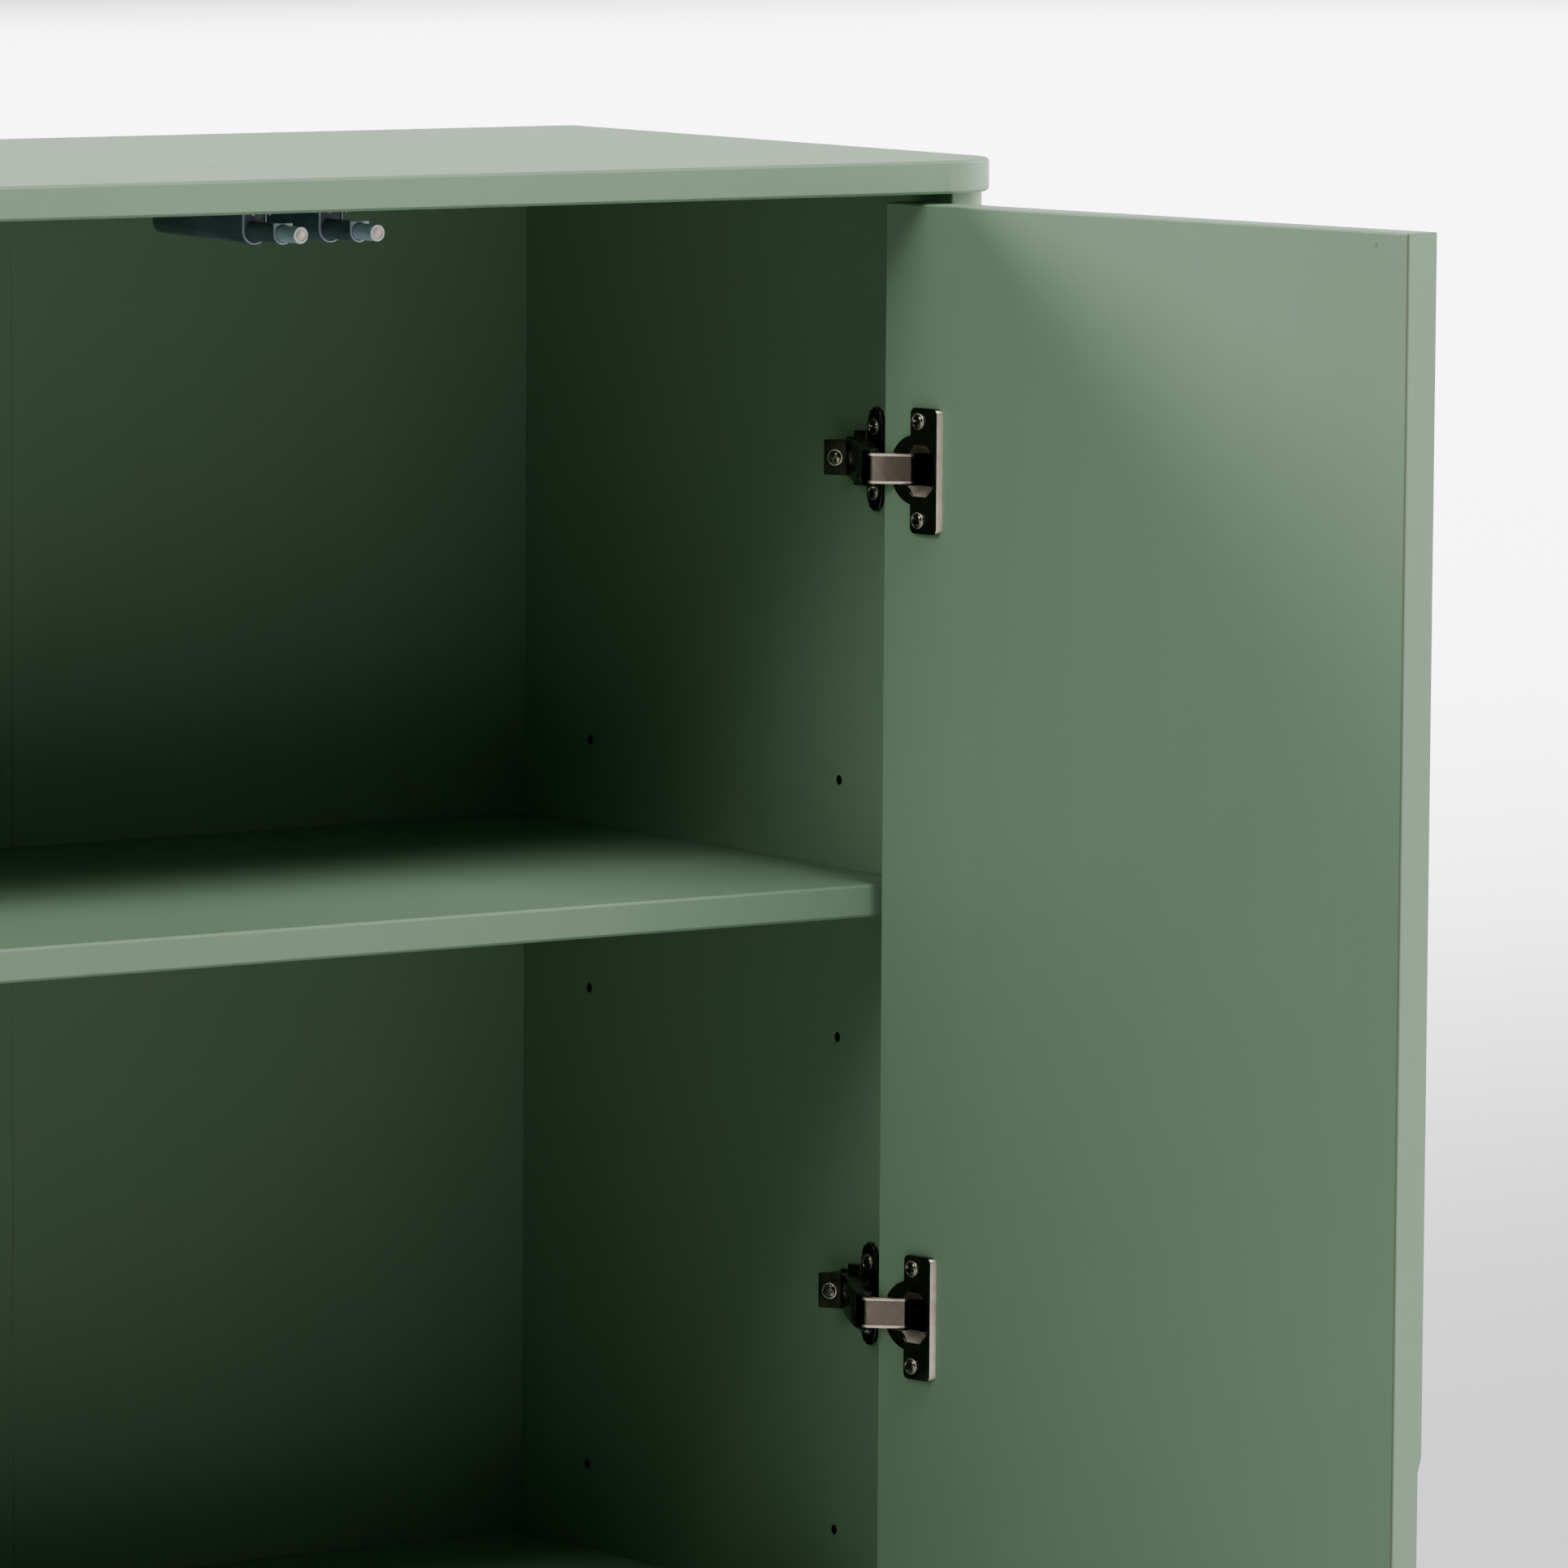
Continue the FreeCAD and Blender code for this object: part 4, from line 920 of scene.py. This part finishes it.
def tube_collar(x):
    """The flat-topped ring around the mouth of a tube; its pale colour is a painted highlight."""
    collar = channel(x, 0.0051, LATCH_Z + 0.0048, LATCH_Z, TUBE_MOUTH - 0.0002, TUBE_MOUTH + 0.0006)
    return carve(collar, along_y(0.0044, x, LATCH_Z, TUBE_MOUTH - 0.002, TUBE_MOUTH + 0.002))


def cradle_form(x):
    """A cradle under the top with a tab for a screw at each end."""
    cradle = channel(x, 0.0060, UNDER_TOP, LATCH_Z, CRADLE_FRONT, CRADLE_REAR, 0.0056,
                     LATCH_Z + 0.0008)
    for start, end in ((CRADLE_FRONT - 0.0068, CRADLE_FRONT + 0.002),
                       (CRADLE_REAR - 0.002, CRADLE_REAR + 0.009)):
        unite(cradle, box(x - 0.0046, x + 0.0046, start, end, UNDER_TOP - TAB_THICKNESS, UNDER_TOP))
    return softened(cradle, 0.0004, 40, 2)


def cradle_lip(x):
    """The lip around a cradle's front, with two feet on its tab; its pale colour is a painted
    highlight.
    """
    lip = channel(x, 0.0064, UNDER_TOP - TAB_THICKNESS, LATCH_Z, CRADLE_FRONT - 0.0008,
                  CRADLE_FRONT + 0.0003)
    carve(lip, channel(x, 0.0058, UNDER_TOP, LATCH_Z, CRADLE_FRONT - 0.002, CRADLE_FRONT + 0.002))
    for edge in (-1, 1):
        middle = x + edge * 0.0044
        unite(lip, box(middle - 0.0005, middle + 0.0005, CRADLE_FRONT - 0.0070,
                       CRADLE_FRONT - 0.0058, UNDER_TOP - 0.0040, UNDER_TOP - 0.0004))
    return lip


class CUPBOARD_OT_latches(bpy.types.Operator):
    """Push latches under the top: tubes, plungers with magnets, cradles"""
    bl_idname = "cupboard.latches"
    bl_label = "Latches"

    def execute(self, context):
        plastic = context.scene.cupboard_plastic
        body = moulded("Latch plastic", plastic.body, 0.38)
        pale = moulded("Plunger plastic", plastic.plunger, 0.42)
        # Painted shade for the cradles' front faces, the shadow of the top
        shade = moulded("Latch shade", LATCH_PAINTED_SHADE, 0.6)
        # Pale plastic that gives the lips and collars a painted highlight
        lip = moulded("Latch lip", LATCH_LIP_HIGHLIGHT, 0.4)
        tip = moulded("Plunger tip", PLUNGER_FACE, 0.4)
        magnet = nickel("Magnet face", MAGNET_METAL, 0.5)
        for name, side in SIDES:
            x = side * LATCH_X
            plunger = turned_part(name + "_plunger_form", PLUNGER_PROFILE, x)
            finish_piece(plunger, name + "_plunger", "plunger_plastic", pale,
                         name + "_latch_plunger")
            set_zones(plunger, [1 if face.center.y < PLUNGER_TIP + 0.0004 else 0
                                for face in plunger.data.polygons], tip)
            disc = turned_part(name + "_magnet_face", MAGNET_PROFILE, x)
            finish_piece(disc, name + "_plunger", "magnet_face", magnet, name + "_plunger_magnet")
            tube = turned_part(name + "_tube_form", TUBE_PROFILE, x)
            finish_piece(tube, "carcass", "latch_plastic", body, name + "_latch_tube")
            collar = named(tube_collar(x), name + "_tube_collar")
            finish_piece(collar, "carcass", "latch_plastic", lip)
            cradle = smooth(named(cradle_form(x), name + "_cradle_form"))
            finish_piece(cradle, "carcass", "latch_plastic", body, name + "_latch_cradle")
            # Faces turned to the front get painted shade, the shadow of the top
            set_zones(cradle, [1 if face.normal.y < -0.5 else 0 for face in cradle.data.polygons],
                      shade)
            ring = smooth(named(cradle_lip(x), name + "_cradle_lip"))
            finish_piece(ring, "carcass", "latch_plastic", lip)
        return {"FINISHED"}


# Fixings
class CUPBOARD_OT_fixings(bpy.types.Operator):
    """Shelf pins and the screws of latches and batten"""
    bl_idname = "cupboard.fixings"
    bl_label = "Fixings"

    def execute(self, context):
        clear = moulded("Clear plastic", CLEAR_PLASTIC, 0.2, Transmission_Weight=0.35, IOR=1.49)
        for level in ("upper", "lower"):
            full = level + "_shelf_pins"
            finish_piece(rounded_copy(full, 0.0004), "carcass", "clear_plastic", clear, full)
        metal = nickel("Small screw", context.scene.cupboard_metal.bright, 0.22)
        head = cross_head()
        small = Matrix.Scale(LATCH_SCREW_RADIUS / SCREW_RADIUS, 4)
        height = UNDER_TOP - TAB_THICKNESS + 0.0001
        places = [placed((side * LATCH_X, y, height), (1, 0, 0), (0, 0, -1)) @ small
                  for _, side in SIDES for y in LATCH_SCREWS]
        heads = smooth(joined("latch_screw_heads", head, places), 30)
        finish_piece(heads, "carcass", "screw_nickel", metal, "latch_screws")
        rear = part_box("back_batten")[1].y
        low = Matrix.Diagonal((0.9, 0.9, 0.6, 1))
        places = [placed((side * BATTEN_SCREW[0], rear, BATTEN_SCREW[1]), (1, 0, 0), (0, 1, 0)) @ low
                  for _, side in SIDES]
        heads = smooth(joined("batten_screw_heads", head, places), 30)
        finish_piece(heads, "carcass", "screw_nickel", metal, "batten_screws")
        return {"FINISHED"}


# Stage
def add_floor():
    """A round pale floor that turns lighter with the distance."""
    work = bmesh.new()
    bmesh.ops.create_circle(work, cap_ends=True, segments=96, radius=60.0)
    floor = from_bmesh("floor", work)
    pale = bpy.data.materials.new("Pale floor")
    pale.use_nodes = True
    tree = pale.node_tree
    shader = tree.nodes["Principled BSDF"]
    shader.inputs["Roughness"].default_value = 0.9
    place = add(tree, "TexCoord").outputs["Object"]
    distance = add(tree, "VectorMath", operation="LENGTH")
    tree.links.new(place, distance.inputs[0])
    far = to_range(tree, distance.outputs["Value"], 0.0, 1.0, 2.0, 7.0)
    cloud = to_range(tree, noise(tree, place, 0.6, 2.0), 0.0, 1.0)
    near = mixed(tree, cloud, (0.51, 0.51, 0.51, 1), (0.54, 0.54, 0.54, 1))
    tree.links.new(mixed(tree, far, near, (0.92, 0.92, 0.92, 1)), shader.inputs["Base Color"])
    dress(floor, pale)


def add_lights(scene, stage):
    """The lights of the table above and faint blue surroundings."""
    for name, setting, size, place, target, spread in LIGHTS:
        data = bpy.data.lights.new(name, "AREA")
        data.spread = math.radians(spread)
        data.shape = "RECTANGLE"
        data.size, data.size_y = size
        data.energy = getattr(stage, setting)
        lamp = bpy.data.objects.new(name, data)
        lamp.location = place
        lamp.rotation_euler = (Vector(target) - Vector(place)).to_track_quat("-Z", "Y").to_euler()
        scene.collection.objects.link(lamp)
    world = bpy.data.worlds.new("Studio")
    world.use_nodes = True
    backdrop = world.node_tree.nodes["Background"]
    backdrop.inputs["Color"].default_value = (0.15, 0.3, 1.0, 1)
    backdrop.inputs["Strength"].default_value = stage.ambient
    scene.world = world


def add_camera(scene):
    """The camera fitted to the photograph."""
    yaw, pitch, roll = (math.radians(angle) for angle in CAMERA_ANGLES)
    forward = Vector((math.sin(yaw) * math.cos(pitch), math.cos(yaw) * math.cos(pitch),
                      -math.sin(pitch)))
    level = Vector((math.cos(yaw), -math.sin(yaw), 0))
    above = level.cross(forward)
    right = level * math.cos(roll) + above * math.sin(roll)
    above = above * math.cos(roll) - level * math.sin(roll)
    data = bpy.data.cameras.new("Camera")
    data.lens, data.sensor_width = CAMERA_LENS, CAMERA_SENSOR
    data.clip_start, data.clip_end = 0.1, 200.0
    camera = bpy.data.objects.new("Camera", data)
    turn = Matrix((right, above, -forward)).transposed().to_4x4()
    camera.matrix_world = Matrix.Translation(CAMERA_PLACE) @ turn
    scene.collection.objects.link(camera)
    scene.camera = camera


class CUPBOARD_OT_stage(bpy.types.Operator):
    """Pale floor, soft studio lights and the camera"""
    bl_idname = "cupboard.stage"
    bl_label = "Stage"

    def execute(self, context):
        add_floor()
        add_lights(context.scene, context.scene.cupboard_stage)
        add_camera(context.scene)
        return {"FINISHED"}


# Add-on
class CUPBOARD_PT_panel(bpy.types.Panel):
    bl_label = "Cupboard"
    bl_idname = "CUPBOARD_PT_panel"
    bl_space_type = "VIEW_3D"
    bl_region_type = "UI"
    bl_category = "Cupboard"

    def draw(self, context):
        layout = self.layout
        for title, settings in SETTINGS:
            section = layout.box()
            section.label(text=title)
            values = getattr(context.scene, settings)
            for key in values.bl_rna.properties.keys():
                if key not in ("rna_type", "name"):
                    section.prop(values, key)
        for operator in OPERATORS:
            layout.operator(operator.bl_idname)


SETTINGS = (("Paint", "cupboard_paint"), ("Metal", "cupboard_metal"),
            ("Plastic", "cupboard_plastic"), ("Stage", "cupboard_stage"))
GROUPS = (PaintSettings, MetalSettings, PlasticSettings, StageSettings)
OPERATORS = (CUPBOARD_OT_boards, CUPBOARD_OT_doors, CUPBOARD_OT_hinges, CUPBOARD_OT_latches,
             CUPBOARD_OT_fixings, CUPBOARD_OT_stage)


def register():
    for item in (*GROUPS, *OPERATORS, CUPBOARD_PT_panel):
        bpy.utils.register_class(item)
    for (_, key), group in zip(SETTINGS, GROUPS):
        setattr(bpy.types.Scene, key, PointerProperty(type=group))


def unregister():
    for _, key in SETTINGS:
        delattr(bpy.types.Scene, key)
    for item in reversed((*GROUPS, *OPERATORS, CUPBOARD_PT_panel)):
        bpy.utils.unregister_class(item)


def main():
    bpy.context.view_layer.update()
    register()
    bpy.ops.cupboard.boards()
    bpy.ops.cupboard.doors()
    bpy.ops.cupboard.hinges()
    bpy.ops.cupboard.latches()
    bpy.ops.cupboard.fixings()
    bpy.ops.cupboard.stage()


if __name__ == "__main__":
    main()
